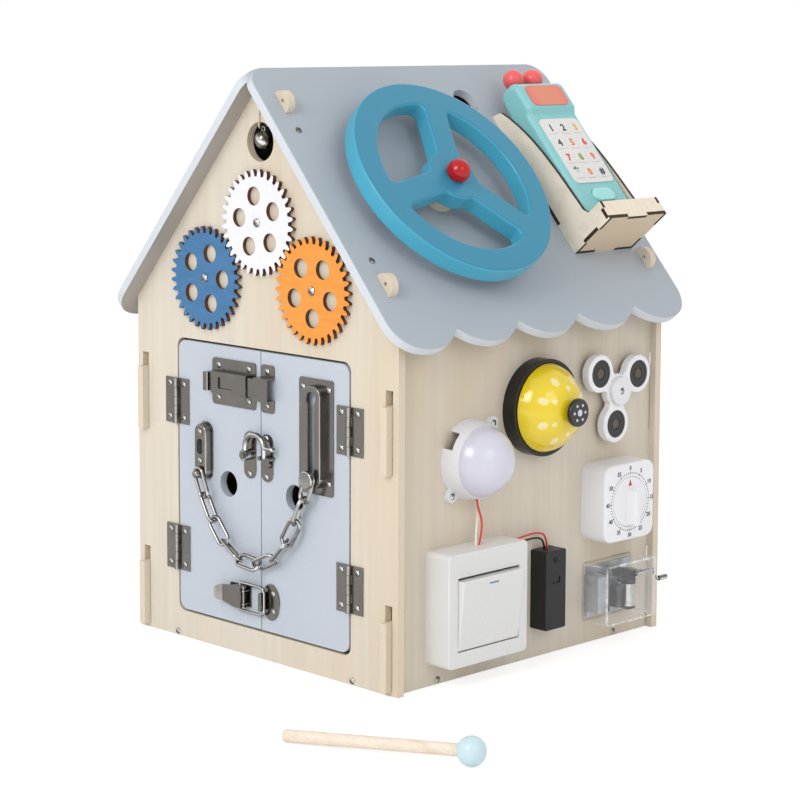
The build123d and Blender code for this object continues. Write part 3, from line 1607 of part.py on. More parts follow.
with BuildPart() as switch_box:
    block(wall_face(), switch_y, switch_z, 0, switch_depth, switch_size, switch_size, switch_corner)
    fillet(faces().sort_by(Axis.X)[-1].edges(), switch_wall / 2)
    cavity = switch_size - 2 * switch_wall
    block(wall_face(), switch_y, switch_z, 0, switch_depth - switch_wall, cavity, cavity, switch_wall,
          mode=Mode.SUBTRACT)
    block(wall_face(), switch_y, rocker_z, switch_depth - switch_collar_depth, switch_depth - switch_wall / 2,
          opening_width + 2 * switch_collar, opening_height + 2 * switch_collar)
    block(wall_face(), switch_y, rocker_z, 0, 2 * switch_depth, opening_width, opening_height,
          mode=Mode.SUBTRACT)
    rocker_pins(rocker_pin_radius + running_gap, Mode.SUBTRACT)

with BuildPart() as switch_rocker:
    with BuildSketch(wall_upright(switch_y)) as rocker_side:
        front = pivot_lift + rocker_pivot_depth
        with BuildLine():
            Polyline(
                (rocker_z - rocker_height / 2, front),
                (rocker_z + rocker_height / 2, front),
                (rocker_z + rocker_height / 2 - rocker_taper, front - rocker_depth),
                (rocker_z - rocker_height / 2 + rocker_taper, front - rocker_depth),
                close=True,
            )
        make_face()
    extrude(rocker_side.sketch, amount=rocker_width / 2, both=True)
    fillet(faces().sort_by(Axis.X)[-1].edges(), metal)
    rocker_pins(rocker_pin_radius)
switch_rocker.part = switch_rocker.part.rotate(rocker_axis, rocker_tilt)
save(switch_rocker, "switch_rocker")

# Leads as (along the wall, lift, height): lamp to switch, then switch to battery box
lamp_leads = [
    [
        (-67.2, 6.0, 138.6),
        (-66.6, 7.2, 130.5),
        (-64.2, 9.4, 121.0),
        (-66.6, 11.2, 111.5),
        (-69.6, 11.0, 101.4),
    ],
    [
        (-64.4, 6.0, 138.6),
        (-64.0, 5.4, 130.0),
        (-66.4, 6.2, 119.5),
        (-70.2, 8.8, 110.5),
        (-72.8, 11.0, 101.4),
    ],
]
battery_leads = [
    [(-30.6, 8.0, 99.0), (-18.0, 8.2, 100.8), (1.0, 7.6, 101.6), (12.2, 6.6, 97.0), (13.8, 6.0, 85.2)],
    [(-30.6, 8.0, 96.0), (-18.0, 8.4, 97.4), (0.0, 7.4, 97.6), (9.2, 6.4, 93.8), (10.8, 6.0, 85.2)],
]


def lead_path(route):
    """A lead's points in the model's frame."""
    return [Vector(wall_x + lift, along, height) for along, lift, height in route]


def lead_radii(points):
    """The radius at each corner, as large as its two runs allow."""
    radii = []
    for before, corner, after in zip(points, points[1:], points[2:]):
        turn = radians((corner - before).get_angle(after - corner))
        shorter = min((corner - before).length, (after - corner).length)
        radii.append(lead_bend_share * shorter / tan(turn / 2))
    return radii


def lead_hole(inside, outside, mode=Mode.SUBTRACT):
    """A straight hole for a lead's end, through the wall that it leaves."""
    along = (inside - outside).normalized() * lead_hole_reach
    rod([inside + along, inside - along], lead_radius + lead_hole_gap, mode=mode)


with BuildPart() as leads:
    for route in lamp_leads + battery_leads:
        points = lead_path(route)
        radii = lead_radii(points)
        print("lead bends", [round(radius, 1) for radius in radii])
        rod(points, lead_radius, radii)
save(leads, "leads")

with lamp_base:
    for route in lamp_leads:
        lead_hole(*lead_path(route)[:2])
save(lamp_base, "lamp_base")

with switch_box:
    for route in lamp_leads:
        lead_hole(*lead_path(route)[:-3:-1])
    for route in battery_leads:
        lead_hole(*lead_path(route)[:2])
save(switch_box, "switch_box")

# Battery box with a cover that slides up once its screw is out
battery_y, battery_z = battery_place
case_depth = battery_depth - battery_cover_thickness
with BuildPart() as battery_case:
    block(wall_face(), battery_y, battery_z, 0, case_depth, battery_width, battery_height, battery_corner)
    block(wall_face(), battery_y, battery_z, battery_wall, battery_depth, battery_width - 2 * battery_wall,
          battery_height - 2 * battery_wall, mode=Mode.SUBTRACT)
    for route in battery_leads:
        lead_hole(*lead_path(route)[:-3:-1])
save(battery_case, "battery_case")

with BuildPart() as battery_cover:
    block(wall_face(), battery_y, battery_z, case_depth, battery_depth, battery_width, battery_height,
          battery_corner)
    fillet(faces().sort_by(Axis.X)[-1].edges(), battery_cover_thickness / 4)
    thumb_z = battery_z + cover_thumb_rise
    block(wall_face(), battery_y, thumb_z, battery_depth - cover_thumb_depth, 2 * battery_depth,
          cover_thumb_width,
          cover_thumb_height, metal, mode=Mode.SUBTRACT)
    screw_z = battery_z + battery_height / 2 - cover_screw_drop
    drill(wall_face(battery_depth), [(battery_y, screw_z)], small_hole, battery_cover_thickness - seat_gap)
    cover_screw = cross_screw(small_screw_head, small_screw_shank, cover_screw_length)
    drive(cover_screw, wall_face(battery_depth), [(battery_y, screw_z)])
save(battery_cover, "battery_cover")

# Call bell: the dome rests on a post, the knob's stem slides in the post's bore
call_foot = at(wall_face(), *call_place)
dome_low = call_base_height + call_gap
call_sphere = (call_dome_radius**2 + call_dome_height**2) / (2 * call_dome_height)
dome_inner = call_sphere - call_dome_wall
post_top = dome_low + call_dome_height - call_sphere + sqrt(dome_inner**2 - call_post_radius**2)
with BuildPart() as call_bell_base:
    boss(call_foot, 0, 0, 0, call_base_height, call_base_radius)
    boss(call_foot, 0, 0, call_base_floor, 2 * call_base_height, call_base_radius - call_base_wall,
         mode=Mode.SUBTRACT)
    fillet(faces().sort_by(Axis.X)[-1].edges(), metal / 2)
    boss(call_foot, 0, 0, 0, post_top, call_post_radius)
    boss(call_foot, 0, 0, call_bore_low, 2 * post_top, call_stem_radius + running_gap, mode=Mode.SUBTRACT)
save(call_bell_base, "call_bell_base")

with BuildPart() as call_bell_dome:
    dome(at(call_foot, 0, 0, dome_low), call_dome_radius, call_dome_height, call_dome_wall,
         call_stem_radius + screw_hole_gap)
save(call_bell_dome, "call_bell_dome")

with BuildPart() as call_bell_button:
    boss(call_foot, 0, 0, call_knob_low, call_knob_low + call_knob_height, call_knob_radius)
    fillet(edges(), call_knob_round)
    boss(call_foot, 0, 0, call_stem_low, call_knob_low + call_knob_height / 2, call_stem_radius)
save(call_bell_button, "call_bell_button")

# Spinner on an axle that stands on the wall
spinner_foot = at(wall_face(), *spinner_place)
with BuildPart() as spinner_body:
    with BuildSketch(at(spinner_foot, 0, 0, spinner_low)):
        Circle(spinner_hub_radius)
        for arm in spinner_turns:
            with Locations(Location((0, 0, 0), (0, 0, arm))):
                Rectangle(spinner_arm, spinner_neck, align=(Align.MIN, Align.CENTER))
                with Locations((spinner_arm, 0)):
                    Circle(spinner_lobe_radius)
        outer = [corner for corner in vertices() if hypot(corner.X, corner.Y) > spinner_hub_radius + seat_gap]
        fillet(outer, spinner_fillet)
    extrude(amount=spinner_high - spinner_low)
    flat = faces().filter_by(Axis.X)
    fillet(flat.edges(), spinner_edge_round)
    for arm in spinner_turns:
        arm_y, arm_z = spinner_arm * cos(radians(arm)), spinner_arm * sin(radians(arm))
        boss(spinner_foot, arm_y, arm_z, 0, 2 * spinner_high, weight_radius + weight_fit, mode=Mode.SUBTRACT)
    boss(spinner_foot, 0, 0, 0, 2 * spinner_high, spinner_axle_radius + running_gap, mode=Mode.SUBTRACT)
    weight_low = spinner_low + weight_sink
    weight_high = spinner_high - weight_sink
    core = weight_core_radius + weight_groove
    for arm in spinner_turns:
        arm_y, arm_z = spinner_arm * cos(radians(arm)), spinner_arm * sin(radians(arm))
        turned(
            at(spinner_foot, arm_y, arm_z),
            [
                (0, weight_low),
                (weight_core_radius, weight_low),
                (weight_core_radius, weight_low + weight_groove),
                (core, weight_low + weight_groove),
                (core, weight_low),
                (weight_radius, weight_low),
                (weight_radius, weight_high),
                (core, weight_high),
                (core, weight_high - weight_groove),
                (weight_core_radius, weight_high - weight_groove),
                (weight_core_radius, weight_high),
                (0, weight_high),
            ],
        )
save(spinner_body, "spinner_body")

with BuildPart() as spinner_cap:
    cap_low = spinner_high + spinner_gap
    cap_high = cap_low + spinner_cap_height
    boss(spinner_foot, 0, 0, cap_low, cap_high, spinner_cap_radius)
    fillet(faces().sort_by(Axis.X)[-1].edges(), metal)
    boss(spinner_foot, 0, 0, 0, cap_high - spinner_cap_height / 2, spinner_axle_radius)
    boss(spinner_foot, 0, 0, 0, spinner_low - spinner_gap, spinner_foot_radius)
    boss(spinner_foot, 0, 0, spinner_screw_seat, 2 * cap_high, spinner_screw_recess, mode=Mode.SUBTRACT)
    boss(spinner_foot, 0, 0, 0, cap_high, wood_hole, mode=Mode.SUBTRACT)
save(spinner_cap, "spinner_cap")

# Kitchen timer
timer_foot = at(wall_face(), *timer_place)
disc_low = timer_depth - timer_disc_thickness
recess_floor = timer_depth - timer_recess
with BuildPart() as timer_case:
    block(timer_foot, 0, 0, 0, timer_depth, timer_width, timer_height, timer_corner)
    fillet(faces().sort_by(Axis.X)[-1].edges(), timer_edge_round)
    block(timer_foot, 0, 0, 0, recess_floor - timer_wall, timer_width - 2 * timer_wall,
          timer_height - 2 * timer_wall, timer_corner - timer_wall, mode=Mode.SUBTRACT)
    boss(timer_foot, 0, 0, timer_shaft_length, recess_floor - timer_wall, timer_hub_radius)
    disc_room = timer_disc_radius + timer_disc_gap
    boss(timer_foot, 0, 0, recess_floor, 2 * timer_depth, disc_room, mode=Mode.SUBTRACT)
    boss(timer_foot, 0, 0, 0, timer_depth, timer_shaft_radius + running_gap, mode=Mode.SUBTRACT)
save(timer_case, "timer_case")

with BuildPart() as timer_knob:
    boss(timer_foot, 0, 0, disc_low, timer_depth, timer_disc_radius)
    block(timer_foot, 0, -timer_bar_drop, disc_low, timer_bar_top, timer_bar_width, timer_bar_length,
          timer_bar_round)
    fillet(faces().sort_by(Axis.X)[-1].edges(), timer_bar_round - seat_gap)
    boss(timer_foot, 0, 0, disc_low - timer_shaft_length, disc_low, timer_shaft_radius)
save(timer_knob, "timer_knob")

# Music box: a clear case over a small crank-driven movement
music_foot = at(wall_face(), *music_place)
with BuildPart() as music_case:
    block(music_foot, 0, 0, 0, music_depth, music_width, music_height, music_corner)
    block(music_foot, 0, 0, -music_wall, music_depth - music_wall, music_width - 2 * music_wall,
          music_height - 2 * music_wall, music_corner - music_wall, mode=Mode.SUBTRACT)
    crank_start = Plane(origin=(wall_x + crank_lift, crank_inner_y, crank_z), z_dir=(0, 1, 0))
    with BuildSketch(crank_start) as crank_bore:
        Circle(crank_radius + screw_hole_gap)
    extrude(crank_bore.sketch, amount=music_width, mode=Mode.SUBTRACT)
save(music_case, "music_case")

with BuildPart() as music_cylinder:
    with BuildSketch(Plane.XY.offset(drum_low)):
        with Locations((wall_x + drum_lift, drum_y)):
            Circle(drum_radius)
    extrude(amount=drum_height)
    with BuildSketch(Plane.XY.offset(crank_z - drum_wheel_height / 2)):
        with Locations((wall_x + drum_lift, drum_y)):
            Circle(drum_wheel_radius)
    extrude(amount=drum_wheel_height)
    with BuildSketch(Plane.XY.offset(drum_low - bearing_height)):
        with Locations((wall_x + drum_lift, drum_y)):
            Circle(drum_axle)
    extrude(amount=crank_z + drum_wheel_height / 2 - drum_low + bearing_height)
save(music_cylinder, "music_cylinder")

with BuildPart() as music_frame:
    plate_width = music_width - 2 * music_wall - music_plate_margin
    plate_height = music_height - 2 * music_wall - music_plate_margin
    block(music_foot, 0, 0, 0, music_plate_thickness, plate_width, plate_height)
    block(wall_face(), *governor_place, 0, governor_depth, governor_width, governor_height)
    fillet(faces().sort_by(Axis.X)[-1].edges(), metal)
    bearing_top = drum_lift + bearing_width / 2
    for bearing_z in (drum_low - drum_end_gap - bearing_height / 2,
                      drum_low + drum_height + drum_end_gap + bearing_height / 2):
        block(wall_face(), drum_y, bearing_z, 0, bearing_top, bearing_width, bearing_height)
    with BuildSketch(Plane.XY) as axle_bore:
        with Locations((wall_x + drum_lift, drum_y)):
            Circle(drum_axle + running_gap)
    extrude(axle_bore.sketch, amount=crank_z, mode=Mode.SUBTRACT)
    comb_length = drum_height * comb_tooth_share
    comb_z = drum_low + drum_height / 2
    comb_low = drum_lift - comb_thickness / 2
    block(wall_face(), comb_y, comb_z, 0, comb_low + comb_thickness, comb_width, drum_height)
    tooth_reach = drum_y - drum_radius - comb_gap - comb_y
    with BuildSketch(wall_face(comb_low)) as teeth:
        with Locations((comb_y + tooth_reach / 2, comb_z)):
            with GridLocations(0, drum_height / comb_teeth, 1, comb_teeth):
                Rectangle(tooth_reach, comb_length / comb_teeth)
    extrude(teeth.sketch, amount=comb_thickness)
    block(wall_face(), crank_inner_y + crank_bracket / 2, crank_z, 0, crank_lift + bearing_width / 2,
          crank_bracket, bearing_width)
    with BuildSketch(Plane(origin=(wall_x + crank_lift, 0, crank_z), z_dir=(0, 1, 0))) as bracket_bore:
        Circle(crank_radius + running_gap)
    extrude(bracket_bore.sketch, amount=crank_bend_y, mode=Mode.SUBTRACT)
save(music_frame, "music_frame")

with BuildPart() as music_crank:
    drop_y, drop_z = crank_drop
    crank_x = wall_x + crank_lift
    bent_y = crank_bend_y + drop_y
    bent_z = crank_z + drop_z
    rod(
        [
            (crank_x, crank_inner_y, crank_z),
            (crank_x, crank_bend_y, crank_z),
            (crank_x, bent_y, bent_z),
            (crank_x, crank_grip_y + crank_grip_length / 2, bent_z),
        ],
        crank_radius,
        crank_bend,
    )
    worm_start = (crank_x, drum_y - crank_worm_length / 2, crank_z)
    with BuildSketch(Plane(origin=worm_start, z_dir=(0, 1, 0))) as worm:
        Circle(crank_worm_radius)
    extrude(worm.sketch, amount=crank_worm_length)
    with BuildSketch(Plane(origin=(crank_x, crank_grip_y, bent_z), z_dir=(0, 1, 0))) as grip:
        Circle(crank_grip_radius)
    extrude(grip.sketch, amount=crank_grip_length)
    fillet(faces().sort_by(Axis.Y)[-1].edges(), metal)
save(music_crank, "music_crank")

# Mallet
with BuildPart() as mallet:
    tip = Vector(*mallet_tip, mallet_stick_radius)
    ball = Vector(*mallet_ball, mallet_ball_radius)
    along = (ball - tip).normalized()
    rod([tip, ball - along * (mallet_ball_radius - mallet_socket)], mallet_stick_radius)
    fillet(edges().sort_by(Axis.X)[0], mallet_stick_radius / 2)
    with Locations(ball):
        Sphere(mallet_ball_radius)
save(mallet, "mallet")
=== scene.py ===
import math

import bmesh
import bpy
from bpy.props import FloatProperty, FloatVectorProperty, IntProperty, PointerProperty
from bpy.types import Operator, Panel, PropertyGroup
from mathutils import Matrix, Vector


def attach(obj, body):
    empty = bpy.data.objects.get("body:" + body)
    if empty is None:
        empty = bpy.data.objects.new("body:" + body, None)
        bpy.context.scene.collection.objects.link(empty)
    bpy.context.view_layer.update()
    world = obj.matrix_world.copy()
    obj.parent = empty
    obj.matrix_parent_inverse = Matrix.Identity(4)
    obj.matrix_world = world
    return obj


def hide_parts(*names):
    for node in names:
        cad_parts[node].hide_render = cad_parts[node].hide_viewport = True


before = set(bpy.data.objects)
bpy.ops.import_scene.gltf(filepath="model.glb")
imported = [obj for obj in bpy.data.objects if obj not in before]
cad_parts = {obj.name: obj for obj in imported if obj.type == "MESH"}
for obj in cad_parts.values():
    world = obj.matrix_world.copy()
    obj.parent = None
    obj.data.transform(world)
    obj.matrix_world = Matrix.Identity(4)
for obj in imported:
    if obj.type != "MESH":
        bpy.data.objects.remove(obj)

bl_info = {
    "name": "Activity House",
    "version": (1, 0, 0),
    "blender": (4, 5, 0),
    "location": "View3D > Sidebar > Activity House",
    "description": "Finishes, marks, leads and studio stage for a wooden activity house",
    "category": "Object",
}

MM = 0.001
BLACK = (0.0, 0.0, 0.0, 1.0)
WHITE = (1.0, 1.0, 1.0, 1.0)
# The colour of painted highlights on metal.
GLINT = (0.95, 0.95, 0.95, 1.0)

# Sizes and places of the solids, in millimetres. A pair is along and up on the appliance wall.

HALF_HOUSE = 150.0
EAVE_HEIGHT = 271.8
ROOF_PLY = 7.2
JINGLE_BELL = (0, -146.75, 403.4)
JINGLE_BELL_REACH = 11.1
PHONE_MIDDLE = 104.9
PANEL_DOWN = 59.5
PANEL_LIFT = 32.8
KEYS_DOWN = 113.5
KEY_COLUMN_PITCH = 14.6
KEY_ROW_PITCH = 15.0
KEY_TOP = 29.42
LAMP_PLACE = (-68.3, 166.8)
LAMP_FOOT_HEIGHT = 15.0
ROCKER_MARK = (-72.0, 78.2)
CALL_PLACE = (5.3, 198.7)
SPINNER_PLACE = (91.9, 202.7)
SPINNER_ARM = 26.7
SPINNER_TURNS = (24.5, 144.5, 264.5)
WEIGHT_RADIUS = 11.03
TIMER_PLACE = (91.0, 115.2)
TIMER_FACE = 24.82
TIMER_POINTER_RISE = 14.6
MUSIC_PLACE = (93.0, 42.0)
MUSIC_SIZE = (60.0, 48.0, 26.0)
MUSIC_WALL = 1.6
DRUM_ALONG = 108.0
DRUM_LIFT = 10.6
DRUM_RADIUS = 6.0
MALLET_BALL = (295.7, -225.2, 10.3)
MALLET_BALL_RADIUS = 10.4
MALLET_TIP = (169.2, -279.6, 4.5)

# Where each lead runs: along, up and out of the appliance wall

LEAD_ROUTES = {
    "lamp_lead_red": ((-67.2, 138.6, 6.0), (-66.6, 130.5, 7.2), (-64.2, 121.0, 9.4), (-66.6, 111.5, 11.2),
                      (-69.6, 101.4, 11.0)),
    "lamp_lead_white": ((-64.4, 138.6, 6.0), (-64.0, 130.0, 5.4), (-66.4, 119.5, 6.2), (-70.2, 110.5, 8.8),
                        (-72.8, 101.4, 11.0)),
    "battery_lead_red": ((-30.6, 99.0, 8.0), (-18.0, 100.8, 8.2), (1.0, 101.6, 7.6), (12.2, 97.0, 6.6),
                         (13.8, 85.2, 6.0)),
    "battery_lead_black": ((-30.6, 96.0, 8.0), (-18.0, 97.4, 8.4), (0.0, 97.6, 7.4), (9.2, 93.8, 6.4),
                           (10.8, 85.2, 6.0)),
}

# The solved camera, the lamps and the floor, in metres and degrees, with the sensor in millimetres

CAMERA_PLACE = (1.3312, -1.3247, 0.4907)
CAMERA_TURNS = (45.136, 6.730, 0.22)
CAMERA_SHIFT = -0.125
SENSOR = 36.0
LAMPS = {
    "key_light": ((0.5, -2.2, 1.6), 1.2),
    "fill_light": ((1.9, -0.3, 1.2), 0.9),
    "back_light": ((-0.6, 1.8, 1.5), 1.6),
}
LAMP_AIM = (0, 0, 0.22)
FLOOR_DROP = 0.2 * MM
FLOOR_GLOW = 1.25
FLOOR_GLOW_SHARE = 0.55

# Planes of the house, in metres

WALL = 143.7 * MM
PITCH = math.radians(49.45)
RIDGE = (EAVE_HEIGHT + HALF_HOUSE * math.tan(PITCH) + ROOF_PLY / math.cos(PITCH)) * MM
DOWN = Vector((math.cos(PITCH), 0, -math.sin(PITCH)))
OUT = Vector((math.sin(PITCH), 0, math.cos(PITCH)))


def paint(red, green, blue):
    """A colour on the 0 to 255 scale as the linear values that shaders take."""

    def linear(value):
        share = value / 255
        return share / 12.92 if share <= 0.04045 else ((share + 0.055) / 1.055) ** 2.4

    return (linear(red), linear(green), linear(blue), 1.0)


def colour(name, text, rgb):
    return FloatVectorProperty(name=name, description=text, default=paint(*rgb), size=4, min=0, max=1,
                               subtype="COLOR")


def length(name, text, default):
    return FloatProperty(name=name, description=text, default=default, min=0, unit="LENGTH")


def power(name, text, default):
    return FloatProperty(name=name, description=text, default=default, min=0, unit="POWER")


# Places on the house


def on_wall(y, z, lift=0.0):
    """A place on the appliance wall, in millimetres: along, up and out of it."""
    return Vector((0, y, z)) * MM + Vector((WALL + lift * MM, 0, 0))


def on_roof(y, down, lift=0.0):
    """A place on the right roof, in millimetres: along, down the slope and out of it."""
    return Vector((0, y * MM, RIDGE)) + DOWN * (down * MM) + OUT * (lift * MM)


def frame_at(place, across, up):
    """A matrix that lays a flat piece at a place: its x runs across, its y up."""
    across, up = Vector(across).normalized(), Vector(up).normalized()
    out = across.cross(up)
    turn = Matrix((across, up, out)).transposed().to_4x4()
    return Matrix.Translation(place) @ turn


def wall_frame(y, z, lift=0.0):
    return frame_at(on_wall(y, z, lift), (0, 1, 0), (0, 0, 1))


def roof_frame(y, down, lift=0.0):
    return frame_at(on_roof(y, down, lift), (0, 1, 0), -DOWN)


# Shader maths


class Field:
    """A shader value or colour that Python operators work on."""

    def __init__(self, net, socket):
        self.net = net
        self.socket = socket

    def math(self, operation, *others):
        return self.net.node("ShaderNodeMath", {"operation": operation}, [self, *others])

    def __add__(self, other):
        return self.math("ADD", other)

    def __radd__(self, other):
        return self.math("ADD", other)

    def __sub__(self, other):
        return self.math("SUBTRACT", other)

    def __rsub__(self, other):
        return self.net.node("ShaderNodeMath", {"operation": "SUBTRACT"}, [other, self])

    def __mul__(self, other):
        return self.math("MULTIPLY", other)

    def __gt__(self, other):
        return self.math("GREATER_THAN", other)

    def __lt__(self, other):
        return self.math("LESS_THAN", other)

    def __abs__(self):
        return self.math("ABSOLUTE")

    def least(self, other):
        return self.math("MINIMUM", other)

    def most(self, other):
        return self.math("MAXIMUM", other)

    def sine(self):
        return self.math("SINE")

    def within(self, low, high):
        """One between two limits in millimetres, zero outside them."""
        return (self > low * MM) * (self < high * MM)

    def ramp(self, low, high, to_low=0.0, to_high=1.0):
        """Smooth change from one value to another between two limits."""
        return self.net.node("ShaderNodeMapRange", {"interpolation_type": "SMOOTHSTEP", "clamp": True},
                             [self, low, high, to_low, to_high])


class Net:
    """The nodes of one material."""

    def __init__(self, name):
        self.material = bpy.data.materials.new(name)
        self.material.use_nodes = True
        self.tree = self.material.node_tree
        self.tree.nodes.clear()
        self.shader = self.tree.nodes.new("ShaderNodeBsdfPrincipled")
        self.output = self.tree.nodes.new("ShaderNodeOutputMaterial")
        self.tree.links.new(self.shader.outputs[0], self.output.inputs[0])
        self.where = None

    def node(self, kind, settings=None, inputs=None, result=0):
        """Adds a node: its settings first, then the values or links of its sockets."""
        node = self.tree.nodes.new(kind)
        for key, value in (settings or {}).items():
            setattr(node, key, value)
        pairs = inputs.items() if isinstance(inputs, dict) else enumerate(inputs or [])
        for key, value in pairs:
            if isinstance(value, Field):
                self.tree.links.new(value.socket, node.inputs[key])
            else:
                node.inputs[key].default_value = value
        return Field(self, node.outputs[result])

    def place(self):
        """The object coordinates, in metres."""
        if self.where is None:
            self.where = self.node("ShaderNodeTexCoord", result="Object")
        return self.where

    def facing(self):
        """The surface's direction in the object's own axes."""
        return self.node("ShaderNodeTexCoord", result="Normal")

    def split(self, vector):
        node = self.tree.nodes.new("ShaderNodeSeparateXYZ")
        self.tree.links.new(vector.socket, node.inputs[0])
        return [Field(self, out) for out in node.outputs]

    def along(self, direction, origin=(0, 0, 0)):
        """How far a point lies from an origin along a direction."""
        away = self.node("ShaderNodeVectorMath", {"operation": "SUBTRACT"}, [self.place(), tuple(origin)])
        return self.node("ShaderNodeVectorMath", {"operation": "DOT_PRODUCT"}, [away, tuple(direction)],
                         result="Value")

    def distance(self, origin, place=None):
        return self.node("ShaderNodeVectorMath", {"operation": "DISTANCE"},
                         [place or self.place(), tuple(origin)], result="Value")

    def wall_distance(self, y, z):
        """How far a point lies from a place on the appliance wall, seen square to the wall."""
        flat = self.node("ShaderNodeVectorMath", {"operation": "MULTIPLY"}, [self.place(), (0, 1, 1)])
        return self.distance((0, y * MM, z * MM), flat)

    def noise(self, scale, detail=4.0, rough=0.55, vector=None, warp=0.0):
        return self.node("ShaderNodeTexNoise", {},
                         {"Vector": vector or self.place(), "Scale": scale, "Detail": detail,
                          "Roughness": rough, "Distortion": warp})

    def grain(self, scales, detail=4.0, rough=0.6, turn=(0, 0, 0), warp=0.0):
        """Noise with a scale of its own along each axis, for grain, fibres and drawn lines."""
        stretched = self.node("ShaderNodeMapping", {"vector_type": "POINT"},
                              {"Vector": self.place(), "Scale": scales, "Rotation": turn})
        return self.noise(1.0, detail, rough, stretched, warp)

    def mix(self, factor, first, second):
        """A colour between two colours."""
        node = self.tree.nodes.new("ShaderNodeMix")
        node.data_type = "RGBA"
        for socket, value in ((node.inputs[0], factor), (node.inputs[6], first), (node.inputs[7], second)):
            if isinstance(value, Field):
                self.tree.links.new(value.socket, socket)
            else:
                socket.default_value = value
        return Field(self, node.outputs[2])

    def mottled(self, shade, dark, pattern, share=1.0, low=0.35, high=0.7):
        """A shade that a pattern darkens in patches."""
        return self.mix(pattern.ramp(low, high, 0.0, share), shade, darker(shade, dark))

    def bump(self, height, strength, depth):
        """Relief of a depth in millimetres."""
        return self.node("ShaderNodeBump", {},
                         {"Strength": strength, "Distance": depth * MM, "Height": height})

    def finish(self, base, rough=0.5, normal=None, **constants):
        """Feeds the shader: varying colour, roughness and bump, and constants for the rest."""
        values = {"Base Color": base, "Roughness": rough, "Normal": normal}
        values.update({key.replace("_", " "): value for key, value in constants.items()})
        for key, value in values.items():
            if isinstance(value, Field):
                self.tree.links.new(value.socket, self.shader.inputs[key])
            elif value is not None:
                self.shader.inputs[key].default_value = value
        return self.material


def largest(fields):
    """The largest of several shader values."""
    most = fields[0]
    for field in fields[1:]:
        most = most.most(field)
    return most


def dot_rings(net, rings, first_turn=0.0):
    """One on the call bell's plain dots. A ring is a radius, a count and a dot's radius, in millimetres."""
    soft_edge = 0.2
    y, z = CALL_PLACE
    dots = []
    for ring, count, size in rings:
        for index in range(count):
            angle = 2 * math.pi * (index + first_turn) / count
            away = net.wall_distance(y + ring * math.cos(angle), z + ring * math.sin(angle))
            dots.append(away.ramp((size - soft_edge) * MM, (size + soft_edge) * MM, 1.0, 0.0))
    return largest(dots)


def darker(shade, share):
    return (shade[0] * share, shade[1] * share, shade[2] * share, 1.0)


def blended(first, second, share):
    return tuple(a + (b - a) * share for a, b in zip(first, second))


# Finishes


def sheet_wood(name, colours, thin_axis, painted_shade_tone=1.0):
    """Plywood: upright grain on its faces, glued layers with a warm sawn look on its edges, and faces that
    can be darkened towards black as painted shade.
    """
    net = Net(name)
    axis = "XYZ".index(thin_axis)
    across = abs(net.split(net.facing())[axis])
    depth = net.split(net.place())[axis]
    streaks = net.grain((150, 150, 5), 5.0, warp=0.4)
    bands = net.grain((16, 16, 1.6), 3.0, 0.5)
    flecks = net.grain((900, 900, 60), 2.0, 0.5)
    face = net.mottled(colours.ply, 0.93, streaks)
    face = net.mix(bands.ramp(0.4, 0.7) * 0.6, face, colours.ply_warm)
    face = net.mix(flecks.ramp(0.62, 0.75) * 0.25, face, colours.ply_edge)
    # Painted shade: a share below one darkens the faces towards black, and the side walls get this shaded
    # copy of the ply.
    face = net.mix(1.0 - painted_shade_tone, face, BLACK)
    layer_pair = 2.6 * MM
    layer = (depth * (2 * math.pi / layer_pair)).sine().ramp(-0.4, 0.4)
    saw = net.noise(700.0, 2.0)
    edge = net.mix(layer, colours.ply_edge, darker(colours.ply, 0.97))
    edge = net.mix(saw.ramp(0.5, 0.8) * 0.3, edge, darker(colours.ply_edge, 0.7))
    skin = net.mix(across.ramp(0.4, 0.7), edge, face)
    rough = streaks * 0.15 + 0.5
    relief = streaks * 0.6 + flecks * 0.4
    return net.finish(skin, rough, net.bump(relief, 0.12, 0.3), Specular_IOR_Level=0.35)


def door_paint(colours):
    """Sprayed paint over board: a fine orange-peel, worn paler along the grain."""
    net = Net("door_paint")
    peel = net.noise(900.0, 2.0)
    cloud = net.noise(9.0, 3.0)
    grain = net.grain((220, 9, 220))
    base = net.mottled(colours.door, 0.95, cloud, 0.5)
    base = net.mix(grain.ramp(0.55, 0.8) * 0.2, base, colours.door_edge)
    rough = peel * 0.12 + 0.4
    return net.finish(base, rough, net.bump(peel * 0.7 + grain * 0.3, 0.08, 0.2), Specular_IOR_Level=0.4)


def roof_paint(colours):
    """The roof's paint: lighter on its rounded edges as a painted highlight, and brownish grey below,
    partly thin paint and partly painted shade.
    """
    net = Net("roof_paint")
    peel = net.noise(800.0, 2.0)
    cloud = net.noise(6.0, 3.0)
    nx, _, nz = net.split(net.facing())
    side = net.along((1, 0, 0))
    up = abs(nx) * math.sin(PITCH) + nz * math.cos(PITCH)
    under = (nx * side < 0) * (nz < -0.3)
    base = net.mottled(colours.roof, 0.95, cloud, 0.4)
    # Painted highlight: faces that turn away from the slope, on the rounded edges, get the lighter edge
    # colour.
    base = net.mix(up.ramp(0.2, 0.9), colours.roof_edge, base)
    # Below the roof: the brownish grey of thin paint, darkened further as painted shade.
    base = net.mix(under, base, colours.roof_under)
    return net.finish(base, peel * 0.12 + 0.42, net.bump(peel, 0.07, 0.2), Specular_IOR_Level=0.4)


